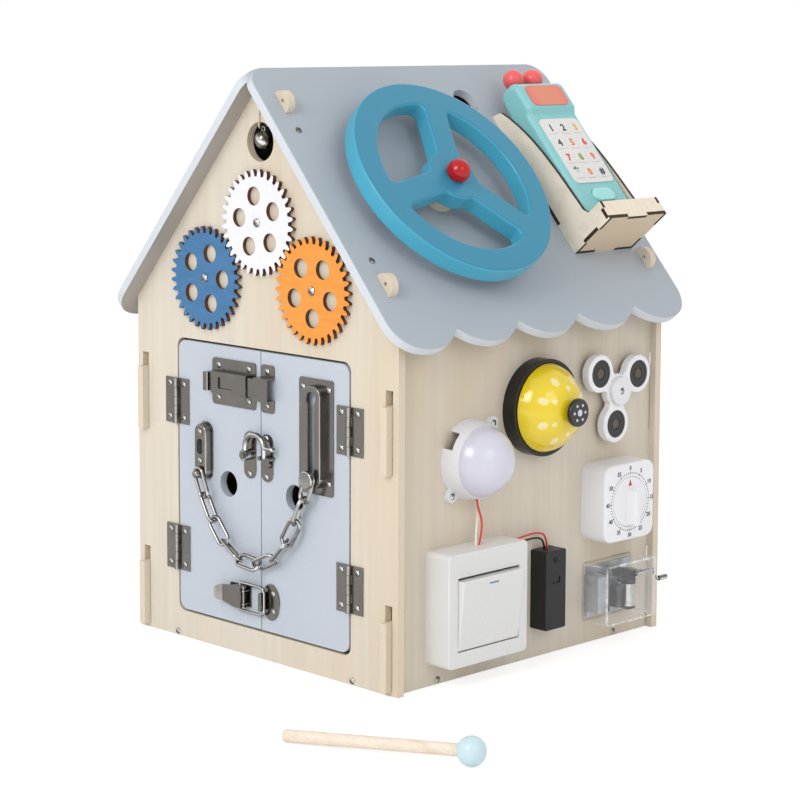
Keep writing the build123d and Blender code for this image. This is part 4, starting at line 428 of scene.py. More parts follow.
def burnt_gear(name, shade, edge_shade, grain):
    """A dyed wooden gear: grain across its face, scorched brown where it was cut."""
    net = Net(name)
    lean = (0, 0.6, 0)
    streaks = net.grain((30, 30, 260), 5.0, turn=lean)
    fibres = net.grain((120, 120, 1400), 3.0, turn=lean)
    face = net.mottled(shade, 0.86, streaks, grain)
    face = net.mix(fibres.ramp(0.55, 0.75) * 0.35 * grain, face, blended(shade, WHITE, 0.25))
    scorch = net.noise(400.0, 2.0)
    edge = net.mottled(edge_shade, 0.5, scorch, low=0.3)
    skin = net.mix(abs(net.split(net.facing())[1]).ramp(0.5, 0.8), edge, face)
    return net.finish(skin, streaks * 0.15 + 0.45, net.bump(streaks + fibres, 0.12, 0.3),
                      Specular_IOR_Level=0.35)


def stamped_metal(name, shade, rough, painted_reflection, brushed=(40, 900, 40), wear=0.35):
    """Plated steel: fine drawn lines, cloudy tarnish, small pits, and dark and bright reflections painted
    into its colour by the way each face turns.
    """
    net = Net(name)
    lines = net.grain(brushed)
    cloud = net.noise(60.0, 4.0, 0.6)
    pits = net.noise(1600.0, 2.0)
    nx, _, nz = net.split(net.facing())
    reflection_band = (nz * 5.0 + nx * 3.0 + cloud * 1.5 - 1.1).sine()
    base = net.mottled(shade, 0.62, cloud, wear, 0.4)
    base = net.mix(lines.ramp(0.5, 0.8) * 0.25, base, blended(shade, WHITE, 0.4))
    # Painted reflection: faces turned one way are darkened, as if they mirrored a dark room.
    base = net.mix(reflection_band.ramp(-0.7, 0.2, 1.0, 0.0) * painted_reflection, base, darker(shade, 0.16))
    # Painted highlight: faces turned the other way get a bright glint.
    base = net.mix(reflection_band.ramp(0.5, 1.0) * painted_reflection, base, GLINT)
    rough_map = cloud * 0.16 + lines * 0.08 + rough - 0.12
    return net.finish(base, rough_map, net.bump(lines * 0.5 + pits * 0.5, 0.05, 0.1), Metallic=1.0)


def small_bell(colours):
    """A steel ball with painted dark and bright reflections, on a loop of pale string."""
    net = Net("bell_plating")
    nx, _, nz = net.split(net.facing())
    cloud = net.noise(200.0, 3.0)
    ball = net.distance(Vector(JINGLE_BELL) * MM) < JINGLE_BELL_REACH * MM
    # Painted reflections on the ball: dark and bright stripes that follow the way each face turns.
    reflection_band = (nz * 5.0 + nx * 4.0 + cloud).sine()
    painted_dark_reflection = darker(colours.bell_metal, 0.18)
    steel = net.mix(reflection_band.ramp(-0.6, 0.3, 1.0, 0.0) * 0.8, colours.bell_metal, painted_dark_reflection)
    steel = net.mix(reflection_band.ramp(0.5, 1.0) * 0.8, steel, GLINT)
    twist = (net.along((0, 0.7, 0.7)) * 4500.0).sine()
    string = net.mottled(colours.string, 0.7, twist, low=-0.5, high=0.5)
    relief = net.bump(twist * (1 - ball), 0.3, 0.2)
    return net.finish(net.mix(ball, string, steel), 0.85 - ball * 0.7, relief, Metallic=ball)


def moulded(name, shade, rough, grain=1400.0, relief=0.05, coat=0.0):
    """Moulded plastic: an almost even colour with a fine mould grain and faint flow marks."""
    net = Net(name)
    grit = net.noise(grain, 2.0)
    flow = net.noise(24.0, 3.0, 0.5)
    base = net.mottled(shade, 0.94, flow, 0.35)
    return net.finish(base, grit * 0.08 + flow * 0.06 + rough - 0.05, net.bump(grit, relief, 0.1),
                      Coat_Weight=coat, Coat_Roughness=0.12)


def wheel_paint(colours):
    """Routed wood under thick paint, with faint grain that shows through; painted light makes its sides
    lighter.
    """
    net = Net("wheel_paint")
    nx, _, nz = net.split(net.facing())
    across = nx * math.sin(PITCH) + nz * math.cos(PITCH)
    streaks = net.grain((30, 300, 30))
    peel = net.noise(700.0, 2.0)
    cloud = net.noise(12.0, 3.0)
    base = net.mottled(colours.wheel, 0.93, cloud, 0.4)
    # Painted light: the wheel's sides, which turn away from the slope, get the lighter side colour.
    base = net.mix(abs(across).ramp(0.3, 0.9), colours.wheel_side, base)
    base = net.mix(streaks.ramp(0.6, 0.8) * 0.15, base, colours.wheel_side)
    return net.finish(base, peel * 0.08 + 0.31, net.bump(peel * 0.6 + streaks * 0.4, 0.08, 0.2),
                      Coat_Weight=0.15, Coat_Roughness=0.2)


def stand_wood(colours):
    """The phone stand: bare ply faces, and scorched brown wherever a plate was cut by laser."""
    net = Net("stand_wood")
    nx, ny, nz = net.split(net.facing())
    aside = abs(net.along((0, 1, 0), (0, PHONE_MIDDLE * MM, 0)))
    height = net.along(OUT, (0, 0, RIDGE))
    run = net.along(DOWN, (0, 0, RIDGE))
    half_width, ply, gap = 35.1, 3.0, 0.05
    middle_finger = 11.75
    lid_start, end_start = 177.2, 190.55
    lid_low, lid_top = 43.5, 46.4
    end_fingers, lip_fingers = (13.95, 31.75), (183.0, 192.1)
    back_fingers = ((82.7, 102.1), (146.5, 165.9))
    side_face = abs(ny) > 0.7
    lid_face = abs(nx * OUT.x + nz * OUT.z) > 0.85
    end_face = abs(nx * DOWN.x + nz * DOWN.z) > 0.85
    outer = aside > (half_width - ply) * MM
    skin = aside > (half_width - 4 * gap) * MM
    middle = aside < middle_finger * MM
    past_end = run > end_start * MM
    in_back = height < (ply + gap) * MM
    in_lid = height > lid_low * MM
    on_top = height > lid_top * MM
    end_finger = height.within(*end_fingers) * past_end
    lip_finger = run.within(*lip_fingers) * in_lid
    back_finger = largest([run.within(*finger) for finger in back_fingers]) * in_back
    on_side = side_face * skin * largest([end_finger, lip_finger, back_finger])
    end_burns = largest([outer * (1 - end_finger), middle * in_lid, in_back * (1 - middle)])
    on_end = end_face * past_end * end_burns
    on_lid = lid_face * on_top * largest([outer * (1 - lip_finger), past_end * (1 - middle)])
    cut_edge = (1 - side_face) * (1 - end_face * past_end) * (1 - lid_face * on_top)
    inner_edge = (1 - outer) * end_face * (run < lid_start * MM)
    burnt = largest([on_side, on_end, on_lid, cut_edge * outer, inner_edge])
    streaks = net.grain((60, 500, 60), 5.0, turn=(0, PITCH, 0), warp=0.3)
    cloud = net.noise(30.0, 3.0)
    face = net.mottled(colours.stand, 0.88, streaks)
    face = net.mix(cloud.ramp(0.45, 0.75) * 0.2, face, colours.ply_warm)
    # The end plate's faces that look down the slope get a darker streaked ply colour.
    end_plate = net.mix(streaks, darker(colours.ply_edge, 0.9), colours.ply_warm)
    face = net.mix(end_face * past_end, face, end_plate)
    smoke = net.noise(250.0, 3.0)
    char = net.mottled(colours.char, 0.45, smoke)
    return net.finish(net.mix(burnt, face, char), streaks * 0.15 + 0.55, net.bump(streaks, 0.15, 0.3),
                      Specular_IOR_Level=0.3)


def spinner_plastic(colours):
    """White body; the weights are black rings round brown glassy centres."""
    net = Net("spinner_plastic")
    core_radius, groove_start, groove_end, soft_edge = 4.3, 7.4, 8.4, 0.2
    near = None
    for turn in SPINNER_TURNS:
        angle = math.radians(turn)
        y = SPINNER_PLACE[0] + SPINNER_ARM * math.cos(angle)
        z = SPINNER_PLACE[1] + SPINNER_ARM * math.sin(angle)
        away = net.wall_distance(y, z)
        near = away if near is None else near.least(away)
    in_weight = near < WEIGHT_RADIUS * MM
    grit = net.noise(1500.0, 2.0)
    flow = net.noise(40.0, 3.0)
    white = net.mottled(colours.white, 0.95, flow, 0.3, 0.4)
    ring = net.mottled(colours.black, 0.6, grit, low=0.4)
    core = net.mottled(colours.amber, 0.6, flow, low=0.3)
    base = net.mix(in_weight, white, ring)
    base = net.mix(near < core_radius * MM, base, core)
    rough = in_weight * 0.08 + grit * 0.05 + 0.2
    inside, outside = [
        near.ramp((radius - soft_edge) * MM, (radius + soft_edge) * MM)
        for radius in (groove_start, groove_end)
    ]
    relief = outside - inside + grit * 0.03
    return net.finish(base, rough, net.bump(relief, 0.4, 0.3), Coat_Weight=0.3, Coat_Roughness=0.08)


def phone_trim(colours):
    """Coral balls, and a head panel that is warmer towards its middle."""
    net = Net("phone_trim")
    grit = net.noise(1200.0, 2.0)
    balls_top = 30.5
    panel = net.along(OUT, (0, 0, RIDGE)) > balls_top * MM
    middle = net.distance(on_roof(PHONE_MIDDLE, PANEL_DOWN, PANEL_LIFT)).ramp(8 * MM, 24 * MM)
    warm = net.mix(middle, colours.coral, blended(colours.coral, colours.bobble, 0.6))
    return net.finish(net.mix(panel, colours.bobble, warm), grit * 0.08 + 0.3, net.bump(grit, 0.05, 0.1),
                      Coat_Weight=0.1, Coat_Roughness=0.2)


def mallet_wood(colours):
    """A pale blue ball on a bare birch stick."""
    net = Net("mallet_wood")
    ball = Vector(MALLET_BALL) * MM
    tip = Vector(MALLET_TIP) * MM
    run = (ball - tip).normalized()
    lay = (0, 0, -math.atan2(run.y, run.x))
    inside = net.distance(ball) < MALLET_BALL_RADIUS * MM
    streaks = net.grain((60, 900, 900), 5.0, turn=lay, warp=0.3)
    bands = net.grain((12, 160, 160), 3.0, 0.5, lay)
    peel = net.noise(900.0, 2.0)
    cloud = net.noise(60.0, 3.0)
    stick = net.mottled(colours.stick, 0.86, streaks)
    stick = net.mix(bands.ramp(0.45, 0.75) * 0.5, stick, colours.ply_warm)
    glaze = net.mottled(colours.pale_blue, 0.93, cloud, 0.4, 0.4)
    rough = (1 - inside) * 0.28 + peel * 0.08 + 0.24
    return net.finish(net.mix(inside, stick, glaze), rough,
                      net.bump(streaks * (1 - inside) + peel * 0.2, 0.15, 0.2), Specular_IOR_Level=0.45)


def lamp_shell(colours):
    """Milky diffusing plastic, slightly cool."""
    net = Net("lamp_shell")
    grit = net.noise(1200.0, 2.0)
    # The dome is darker and bluer away from its middle, towards its foot.
    depth = net.distance(on_wall(*LAMP_PLACE, LAMP_FOOT_HEIGHT)).ramp(20 * MM, 30 * MM)
    base = net.mix(depth, colours.lamp, blended(colours.lamp, colours.lamp_rim, 0.7))
    return net.finish(base, grit * 0.05 + 0.2, net.bump(grit, 0.03, 0.1), Coat_Weight=0.4,
                      Coat_Roughness=0.06, Subsurface_Weight=0.2, Subsurface_Radius=(0.004, 0.004, 0.005),
                      Subsurface_Scale=1.0)


def bell_enamel(colours):
    """Yellow enamel with two rings of plain pale dots."""
    net = Net("bell_enamel")
    peel = net.noise(900.0, 2.0)
    foot_top = 13.0
    spots = dot_rings(net, ((24.5, 8, 3.0), (17.5, 6, 2.0)), 0.5)
    above_foot = net.along((1, 0, 0), (WALL, 0, 0)).ramp(foot_top * MM, (foot_top + 1) * MM)
    base = net.mix(spots * above_foot, colours.yellow, colours.bell_spot)
    return net.finish(base, peel * 0.06 + 0.12, net.bump(peel, 0.03, 0.1), Coat_Weight=0.7,
                      Coat_Roughness=0.04)


def bell_knob(colours):
    """Black knob with a pale ring of dots on its face."""
    net = Net("bell_knob")
    peel = net.noise(900.0, 2.0)
    spots = dot_rings(net, ((0, 1, 2.6), (6.2, 6, 1.1)))
    front = net.split(net.facing())[0] > 0.8
    base = net.mix(spots * front, colours.black, colours.pale_mark)
    return net.finish(base, peel * 0.08 + 0.2, net.bump(peel, 0.03, 0.1), Coat_Weight=0.5,
                      Coat_Roughness=0.06)


def rocker_plastic(colours):
    """White rocker with a small grey-blue mark near its top."""
    net = Net("rocker_plastic")
    grit = net.noise(1500.0, 2.0)
    flow = net.noise(30.0, 3.0)
    front = net.split(net.facing())[0] > 0.8
    half_width, half_height = 5.2, 0.8
    across = abs(net.along((0, 1, 0), on_wall(*ROCKER_MARK)))
    up = abs(net.along((0, 0, 1), on_wall(*ROCKER_MARK)))
    mark = (across < half_width * MM) * (up < half_height * MM) * front
    white = net.mottled(colours.switch, 0.96, flow, 0.3, 0.4)
    return net.finish(net.mix(mark, white, colours.glow_mark), grit * 0.06 + 0.24,
                      net.bump(grit + mark * -4.0, 0.05, 0.1), Coat_Weight=0.15, Coat_Roughness=0.15)


def clear_plastic(colours):
    """Clear moulded case: see-through, with pale scuffs, a painted sheen that grows at grazing angles, and
    painted highlights where its walls meet.
    """
    net = Net("clear_plastic")
    scuffs = net.grain((200, 60, 900))
    wave = net.noise(90.0, 3.0) * (1.2 * MM)
    # Painted sheen: the case turns whiter where it is seen at a grazing angle.
    rim = net.node("ShaderNodeLayerWeight", {}, {"Blend": 0.35}, result="Facing")
    foot_centre = on_wall(*MUSIC_PLACE)
    width, height, depth = MUSIC_SIZE
    side = abs(net.along((0, 1, 0), foot_centre)) + wave
    level = abs(net.along((0, 0, 1), foot_centre)) + wave
    lift = net.along((1, 0, 0), foot_centre) + wave
    at_side, at_top, at_front = [
        away.ramp((reach - MUSIC_WALL) * MM, (reach - 0.1) * MM)
        for away, reach in ((side, width / 2), (level, height / 2), (lift, depth))
    ]
    # Painted highlights: bright whitish rims where the walls meet.
    corner = largest([at_side * at_top, at_side * at_front, at_top * at_front])
    foot = lift.ramp(0.6 * MM, 1.8 * MM, 1.0, 0.0) * 0.35
    glint = net.noise(160.0, 2.0).ramp(0.35, 0.65, 0.25, 0.7)
    scuffs_and_painted_sheen = rim.ramp(0.6, 1.0) * 0.25 + scuffs.ramp(0.55, 0.8) * 0.1 + 0.07
    veil = largest([scuffs_and_painted_sheen, corner * glint, foot])
    return net.finish(colours.clear, 0.05 + scuffs.ramp(0.6, 0.8) * 0.12, net.bump(scuffs, 0.04, 0.1),
                      Alpha=veil, Specular_IOR_Level=0.8)


def cast_metal(colours):
    """The movement: pale plate and governor, dark block and bearings, and a browned comb."""
    net = Net("cast_metal")
    grit = net.noise(700.0, 4.0, 0.7)
    cloud = net.noise(70.0, 3.0)
    lift = net.along((1, 0, 0), (WALL, 0, 0))
    y = net.along((0, 1, 0))
    plate_top, governor_end = 2.1, 77.5
    plate = lift < plate_top * MM
    governor = (y < governor_end * MM) * (1 - plate)
    pale_parts = plate.most(governor)
    comb_along, comb_lift = (93.0, 102.4), (9.6, 11.6)
    comb = y.within(*comb_along) * lift.within(*comb_lift)
    pale = net.mottled(colours.cast_plate, 0.6, cloud, low=0.3)
    body = net.mottled(colours.cast, 0.35, cloud)
    body = net.mix(pale_parts, body, pale)
    browned = net.mix(cloud.ramp(0.4, 0.9), colours.cast, darker(colours.steel, 0.5))
    return net.finish(net.mix(comb, body, browned), grit * 0.2 + 0.25, net.bump(grit, 0.2, 0.2),
                      Metallic=pale_parts * 0.7, Specular_IOR_Level=0.3)


# Sizes and colours


class HouseColours(PropertyGroup):
    """The colours of the whole set."""

    ply: colour("Plywood", "Bare plywood faces", (218, 209, 194))
    ply_warm: colour("Plywood, warm bands", "Darker bands of the grain", (211, 193, 167))
    ply_edge: colour("Plywood edges", "Sawn edges of the panels", (220, 200, 172))
    roof: colour("Roof", "Paint of both roof slopes", (169, 177, 185))
    # Painted highlight on the rounded edges of the roof.
    roof_edge: colour("Roof edges", "Rounded edges of the roof", (206, 211, 217))
    # Thin paint below the roof, darkened as painted shade.
    roof_under: colour("Roof underside", "Thin paint below the roof", (170, 165, 158))
    door: colour("Doors", "Paint of the doors", (190, 197, 207))
    door_edge: colour("Door edges", "Worn paint on the doors", (208, 214, 221))
    wheel: colour("Wheel", "Front of the steering wheel", (38, 134, 166))
    # Painted light on the wheel's sides, also used for the grain that shows through.
    wheel_side: colour("Wheel sides", "Sides of the steering wheel", (70, 166, 194))
    ball: colour("Wheel ball", "Ball at the wheel's centre", (184, 2, 8))
    gear_blue: colour("Blue gear", "Dye of the left gear", (66, 118, 164))
    gear_white: colour("White gear", "Paint of the top gear", (232, 232, 236))
    gear_orange: colour("Orange gear", "Dye of the right gear", (238, 152, 62))
    scorch: colour("Scorch", "Edges of the gears", (104, 62, 38))
    char: colour("Char", "Burnt joints of the phone stand", (66, 44, 34))
    nickel: colour("Nickel", "Plating of the latches", (138, 133, 127))
    steel: colour("Bright steel", "Chain and slider", (196, 194, 190))
    bell_metal: colour("Jingle bell", "Plating of the small bell", (200, 198, 192))
    string: colour("String", "Loop of the small bell", (225, 215, 196))
    mint: colour("Phone", "Body of the toy phone", (136, 198, 200))
    coral: colour("Phone panel", "Head panel of the phone", (222, 134, 104))
    button: colour("Phone button", "Home button of the phone", (164, 228, 224))
    bobble: colour("Phone balls", "Two balls on the phone", (236, 96, 96))
    keypad: colour("Keypad", "Pad under the keys", (224, 222, 219))
    white: colour("White plastic", "Timer, lamp foot and spinner", (236, 236, 240))
    switch: colour("Switch plastic", "Frame and rocker of the switch", (221, 221, 220))
    lamp: colour("Lamp", "Dome of the lamp", (211, 210, 222))
    lamp_rim: colour("Lamp rim", "Dome near its foot", (196, 196, 214))
    black: colour("Black plastic", "Battery box and bell foot", (14, 15, 17))
    yellow: colour("Bell dome", "Enamel of the call bell", (232, 204, 30))
    bell_spot: colour("Bell spots", "Pale spots on the call bell", (240, 224, 160))
    pale_mark: colour("Knob marks", "Marks on the call bell's knob", (205, 210, 218))
    amber: colour("Spinner centres", "Centres of the spinner's weights", (92, 78, 62))
    glow_mark: colour("Switch mark", "Small mark on the rocker", (122, 144, 160))
    red_mark: colour("Red mark", "Pointer on the timer", (205, 30, 36))
    dial_ink: colour("Dial ink", "Ticks and numbers of the timer", (52, 54, 60))
    lead_red: colour("Red lead", "Insulation", (212, 58, 50))
    lead_white: colour("White lead", "Insulation", (236, 228, 214))
    clear: colour("Clear plastic", "Case of the music box", (244, 247, 250))
    cast: colour("Casting", "Bearings of the music box", (46, 38, 36))
    cast_plate: colour("Casting plate", "Base plate of the music box", (190, 194, 202))
    drum: colour("Drum", "Drum and crank of the music box", (190, 188, 182))
    stand: colour("Stand", "Bare faces of the phone stand", (240, 227, 208))
    stick: colour("Stick", "Stick of the mallet", (238, 224, 206))
    pale_blue: colour("Mallet ball", "Ball of the mallet", (196, 220, 228))


class StageSettings(PropertyGroup):
    """Camera, light and floor."""

    lens: FloatProperty(name="Lens", description="Focal length in millimetres", default=105.08, min=20)
    world_light: FloatProperty(name="Sky", description="Strength of the even light", default=0.79, min=0)
    key_light: power("Key light", "Power of the large soft lamp", 25.0)
    fill_light: power("Fill light", "Power of the lamp on the other side", 3.5)
    back_light: power("Back light", "Power of the lamp behind", 5.0)
    floor_size: length("Floor", "Side of the floor", 6.0)
    floor_colour: colour("Floor", "Pale plain floor", (250, 250, 250))


class TimerSettings(PropertyGroup):
    """The kitchen timer's dial."""

    tick_ring: length("Tick ring", "Radius of the ring of ticks", 23.0 * MM)
    number_ring: length("Number ring", "Radius of the ring of numbers", 26.9 * MM)
    ticks: IntProperty(name="Ticks", description="Marks round the dial", default=60, min=12)
    number_height: length("Number height", "Height of the digits", 4.6 * MM)
    number_weight: length("Number weight", "How much the digits are thickened", 0.16 * MM)


class DrumSettings(PropertyGroup):
    """The music box's pinned drum."""

    pins: IntProperty(name="Pins", description="Pins on the drum", default=90, min=8)
    pin_radius: length("Pin radius", "Radius of a pin", 0.28 * MM)
    pin_height: length("Pin height", "How far a pin stands out", 0.35 * MM)


class LeadSettings(PropertyGroup):
    """The thin leads on the wall."""

    radius: length("Lead radius", "Radius of the insulation", 0.8 * MM)


def colours():
    return bpy.context.scene.house_colours


# Mesh helpers


def new_piece(name, mesh, material, body):
    """Adds a finished mesh or curve to the scene as a piece that rides on a body."""
    piece = bpy.data.objects.new(name, mesh)
    bpy.context.scene.collection.objects.link(piece)
    mesh.materials.clear()
    mesh.materials.append(material)
    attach(piece, body)
    return piece


def to_mesh(bm, name, smooth=True):
    mesh = bpy.data.meshes.new(name)
    bmesh.ops.recalc_face_normals(bm, faces=bm.faces)
    bm.to_mesh(mesh)
    bm.free()
    for face in mesh.polygons:
        face.use_smooth = smooth
    return mesh


def bevelled_box(bm, matrix, size, round_off):
    """A box with cut edges, laid by a matrix."""
    made = bmesh.ops.create_cube(bm, size=1.0, matrix=Matrix.Diagonal((*size, 1)))
    edges = list({edge for vert in made["verts"] for edge in vert.link_edges})
    grown = bmesh.ops.bevel(bm, geom=edges, offset=round_off, segments=1, affect="EDGES", profile=0.5,
                            material=-1)
    verts = list({vert for face in grown["faces"] for vert in face.verts} |
                 {vert for vert in made["verts"] if vert.is_valid})
    bmesh.ops.transform(bm, matrix=matrix, verts=verts)


def add_numbers(bm, text, height, matrix, depth, weight):
    """Adds digits as thin raised forms, centred on a matrix's place and thickened by a weight."""
    curve = bpy.data.curves.new("digits", "FONT")
    curve.body = text
    curve.size = height
    curve.align_x = "CENTER"
    curve.align_y = "CENTER"
    curve.extrude = depth
    curve.offset = weight
    curve.resolution_u = 2
    holder = bpy.data.objects.new("digits", curve)
    bpy.context.scene.collection.objects.link(holder)
    bpy.context.view_layer.update()
    mesh = bpy.data.meshes.new_from_object(holder)
    mesh.transform(matrix)
    bm.from_mesh(mesh)
    bpy.data.meshes.remove(mesh)
    bpy.data.objects.remove(holder)
    bpy.data.curves.remove(curve)


def coat_nodes(material, *nodes):
    """Gives CAD nodes a finish in their own slots."""
    for node in nodes:
        mesh_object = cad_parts[node]
        if not mesh_object.material_slots:
            mesh_object.data.materials.append(material)
        for slot in mesh_object.material_slots:
            slot.link = "OBJECT"
            slot.material = material


def direct_ray(tree):
    """One where the camera looks straight or through clear plastic, zero for light that bounces."""
    path = tree.nodes.new("ShaderNodeLightPath")
    direct = tree.nodes.new("ShaderNodeMath")
    direct.operation = "MAXIMUM"
    tree.links.new(path.outputs["Is Camera Ray"], direct.inputs[0])
    tree.links.new(path.outputs["Is Transmission Ray"], direct.inputs[1])
    return direct.outputs[0]


# Operators


class HOUSE_OT_stage(Operator):
    """Add the camera, the lights, the white surround and the floor"""

    bl_idname = "house.stage"
    bl_label = "Stage"

    def execute(self, context):
        settings = context.scene.stage_settings
        context.scene.view_settings.view_transform = "Standard"
        self.add_camera(context, settings)
        self.add_world(context, settings)
        for name, (place, size) in LAMPS.items():
            self.add_lamp(name, getattr(settings, name), place, size)
        self.add_floor(settings)
        return {"FINISHED"}

    def add_camera(self, context, settings):
        camera = bpy.data.cameras.new("camera")
        camera.lens = settings.lens
        camera.sensor_width = SENSOR
        camera.shift_y = CAMERA_SHIFT
        camera.clip_start = 0.05
        holder = bpy.data.objects.new("camera", camera)
        holder.location = CAMERA_PLACE
        yaw, pitch, roll = (math.radians(angle) for angle in CAMERA_TURNS)
        look = Matrix.Rotation(yaw, 3, "Z") @ Matrix.Rotation(math.pi / 2 - pitch, 3, "X")
        holder.rotation_euler = (look @ Matrix.Rotation(roll, 3, "Z")).to_euler()
        context.scene.collection.objects.link(holder)
        context.scene.camera = holder

    def add_world(self, context, settings):
        """White for the camera, and an even light with a strength of its own for everything else."""
        world = bpy.data.worlds.new("surround")
        world.use_nodes = True
        context.scene.world = world
        tree = world.node_tree
        tree.nodes.clear()
        both = tree.nodes.new("ShaderNodeMixShader")
        tree.links.new(direct_ray(tree), both.inputs[0])
        for strength, shader_input in zip((settings.world_light, 1.0), both.inputs[1:]):
            light = tree.nodes.new("ShaderNodeBackground")
            light.inputs["Color"].default_value = WHITE
            light.inputs["Strength"].default_value = strength
            tree.links.new(light.outputs[0], shader_input)
        out = tree.nodes.new("ShaderNodeOutputWorld")
        tree.links.new(both.outputs[0], out.inputs[0])

    def add_lamp(self, name, watts, place, size):
        lamp = bpy.data.lights.new(name, "AREA")
        lamp.energy = watts
        lamp.size = size
        holder = bpy.data.objects.new(name, lamp)
        holder.location = place
        aim = Vector(LAMP_AIM) - Vector(place)
        holder.rotation_euler = aim.to_track_quat("-Z", "Y").to_euler()
        bpy.context.scene.collection.objects.link(holder)

    def add_floor(self, settings):
        """A pale floor that glows towards the camera, so that it fades into the white surround."""
        bm = bmesh.new()
        bmesh.ops.create_grid(bm, x_segments=8, y_segments=8, size=settings.floor_size / 2)
        bmesh.ops.translate(bm, verts=bm.verts, vec=(0, 0, -FLOOR_DROP))
        net = Net("floor")
        grain = net.noise(30.0, 3.0)
        shade = net.mix(grain * 0.2, settings.floor_colour, darker(settings.floor_colour, 0.99))
        net.finish(shade, 0.7, Specular_IOR_Level=0.1)
        glow = net.node("ShaderNodeEmission", {}, {"Strength": FLOOR_GLOW})
        seen = Field(net, direct_ray(net.tree)) * FLOOR_GLOW_SHARE
        both = net.node("ShaderNodeMixShader", {}, [seen, Field(net, net.shader.outputs[0]), glow])
        net.tree.links.new(both.socket, net.output.inputs[0])
        floor = bpy.data.objects.new("floor", to_mesh(bm, "floor", False))
        floor.data.materials.append(net.material)
        bpy.context.scene.collection.objects.link(floor)


class HOUSE_OT_leads(Operator):
    """Lay the four thin leads between lamp, switch and battery box"""

    bl_idname = "house.leads"
    bl_label = "Leads"

    def execute(self, context):
        shades = colours()
        radius = context.scene.lead_settings.radius
        tints = {"red": shades.lead_red, "white": shades.lead_white, "black": shades.black}
        for name, route in LEAD_ROUTES.items():
            curve = bpy.data.curves.new(name, "CURVE")
            curve.dimensions = "3D"
            curve.bevel_depth = radius
            curve.bevel_resolution = 6
            curve.resolution_u = 16
            spline = curve.splines.new("NURBS")
            spline.points.add(len(route) - 1)
            for point, place in zip(spline.points, route):
                point.co = (*on_wall(*place), 1.0)
            spline.order_u = 3
            spline.use_endpoint_u = True
            shade = tints[name.rsplit("_", 1)[1]]
            piece = new_piece(name, curve, moulded(name, shade, 0.34), "house")
            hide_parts("leads")
            first = on_wall(*route[0])
        return {"FINISHED"}


class HOUSE_OT_shell(Operator):
    """Finish the panels, roof, doors and spacer"""

    bl_idname = "house.shell"
    bl_label = "House shell"

    def execute(self, context):
        shades = colours()
        coat_nodes(sheet_wood("gable_ply", shades, "Y"), "front_panel", "back_panel")
        # The side walls take a shaded copy of the ply: painted shade.
        coat_nodes(sheet_wood("wall_ply", shades, "X", 0.97), "left_side_panel", "right_side_panel")
        coat_nodes(sheet_wood("floor_ply", shades, "X"), "floor_panel", "wheel_spacer")
        coat_nodes(roof_paint(shades), "left_roof_panel", "right_roof_panel")
        coat_nodes(door_paint(shades), "left_door", "right_door")
        return {"FINISHED"}


class HOUSE_OT_latches(Operator):
    """Finish the hinges, latches, chain and screws"""

    bl_idname = "house.latches"
    bl_label = "Latches and hinges"

    def execute(self, context):
        shades = colours()
        plate = stamped_metal("nickel_plate", shades.nickel, 0.22, 0.35)
        bright = stamped_metal("bright_steel", shades.steel, 0.16, 0.8, (200, 200, 200), 0.2)
        coat_nodes(plate, "frame_hinge_leaves", "left_door_hinge_leaves", "right_door_hinge_leaves",
                   "bolt_plate", "bolt_bar", "bolt_keeper", "hook_plate", "hook_catch", "toggle_base",
                   "toggle_lever", "toggle_strike", "chain_anchor", "chain_track")
        coat_nodes(bright, "hook_arm", "toggle_loop", "chain_links", "chain_slider", "house_screws",
                   "left_door_screws", "right_door_screws")
        return {"FINISHED"}


class HOUSE_OT_gable(Operator):
    """Finish the three gears and the small bell"""

    bl_idname = "house.gable"
    bl_label = "Gears and small bell"

    def execute(self, context):
        shades = colours()
        for node, grain in (("gear_blue", 0.7), ("gear_white", 0.2), ("gear_orange", 0.6)):
            coat_nodes(burnt_gear(node, getattr(shades, node), shades.scorch, grain), node)
        coat_nodes(small_bell(shades), "jingle_bell")
        return {"FINISHED"}


class HOUSE_OT_roof_toys(Operator):
    """Finish the steering wheel and the toy phone with its stand"""

    bl_idname = "house.roof_toys"
    bl_label = "Wheel and phone"

    def execute(self, context):
        shades = colours()
        coat_nodes(wheel_paint(shades), "steering_wheel")
        coat_nodes(moulded("ball_gloss", shades.ball, 0.16, coat=0.1), "wheel_cap")
        coat_nodes(stand_wood(shades), "phone_stand")
        coat_nodes(moulded("phone_body", shades.mint, 0.36), "phone_body")
        coat_nodes(moulded("phone_keypad", shades.keypad, 0.42), "phone_keypad")
        coat_nodes(phone_trim(shades), "phone_trim")
        coat_nodes(moulded("phone_button", shades.button, 0.25, coat=0.2), "phone_home_button")
        self.add_key_marks()
        return {"FINISHED"}

    def add_key_marks(self):
        """Plain digits on the keys, in the bright mixed colours of a toy."""
        tints = {"ink": (62, 56, 66), "gold": (226, 170, 60), "orange": (228, 118, 52),
                 "red": (208, 44, 50), "green": (126, 160, 70), "grey": (84, 98, 106)}
        keys = (("1", "ink"), ("2", "ink"), ("3", "gold"),
                ("4", "ink"), ("5", "orange"), ("6", "red"),
                ("7", "red"), ("8", "green"), ("9", "orange"),
                ("*", "grey"), ("0", "orange"), ("#", "ink"))
        star_height, digit_height = 14.0, 9.0
        groups = {tint: bmesh.new() for tint in tints}
        for index, (sign, tint) in enumerate(keys):
            row, column = divmod(index, 3)
            spot = roof_frame(PHONE_MIDDLE + (column - 1) * KEY_COLUMN_PITCH,
                              KEYS_DOWN + (row - 1.5) * KEY_ROW_PITCH, KEY_TOP)
            height = star_height if sign == "*" else digit_height
            add_numbers(groups[tint], sign, height * MM, spot, 0.06 * MM, 0.4 * MM)
        for tint, bm in groups.items():
            name = f"key_marks_{tint}"
            print_ink = moulded(name, paint(*tints[tint]), 0.4)
            new_piece(name, to_mesh(bm, name, False), print_ink, "phone")


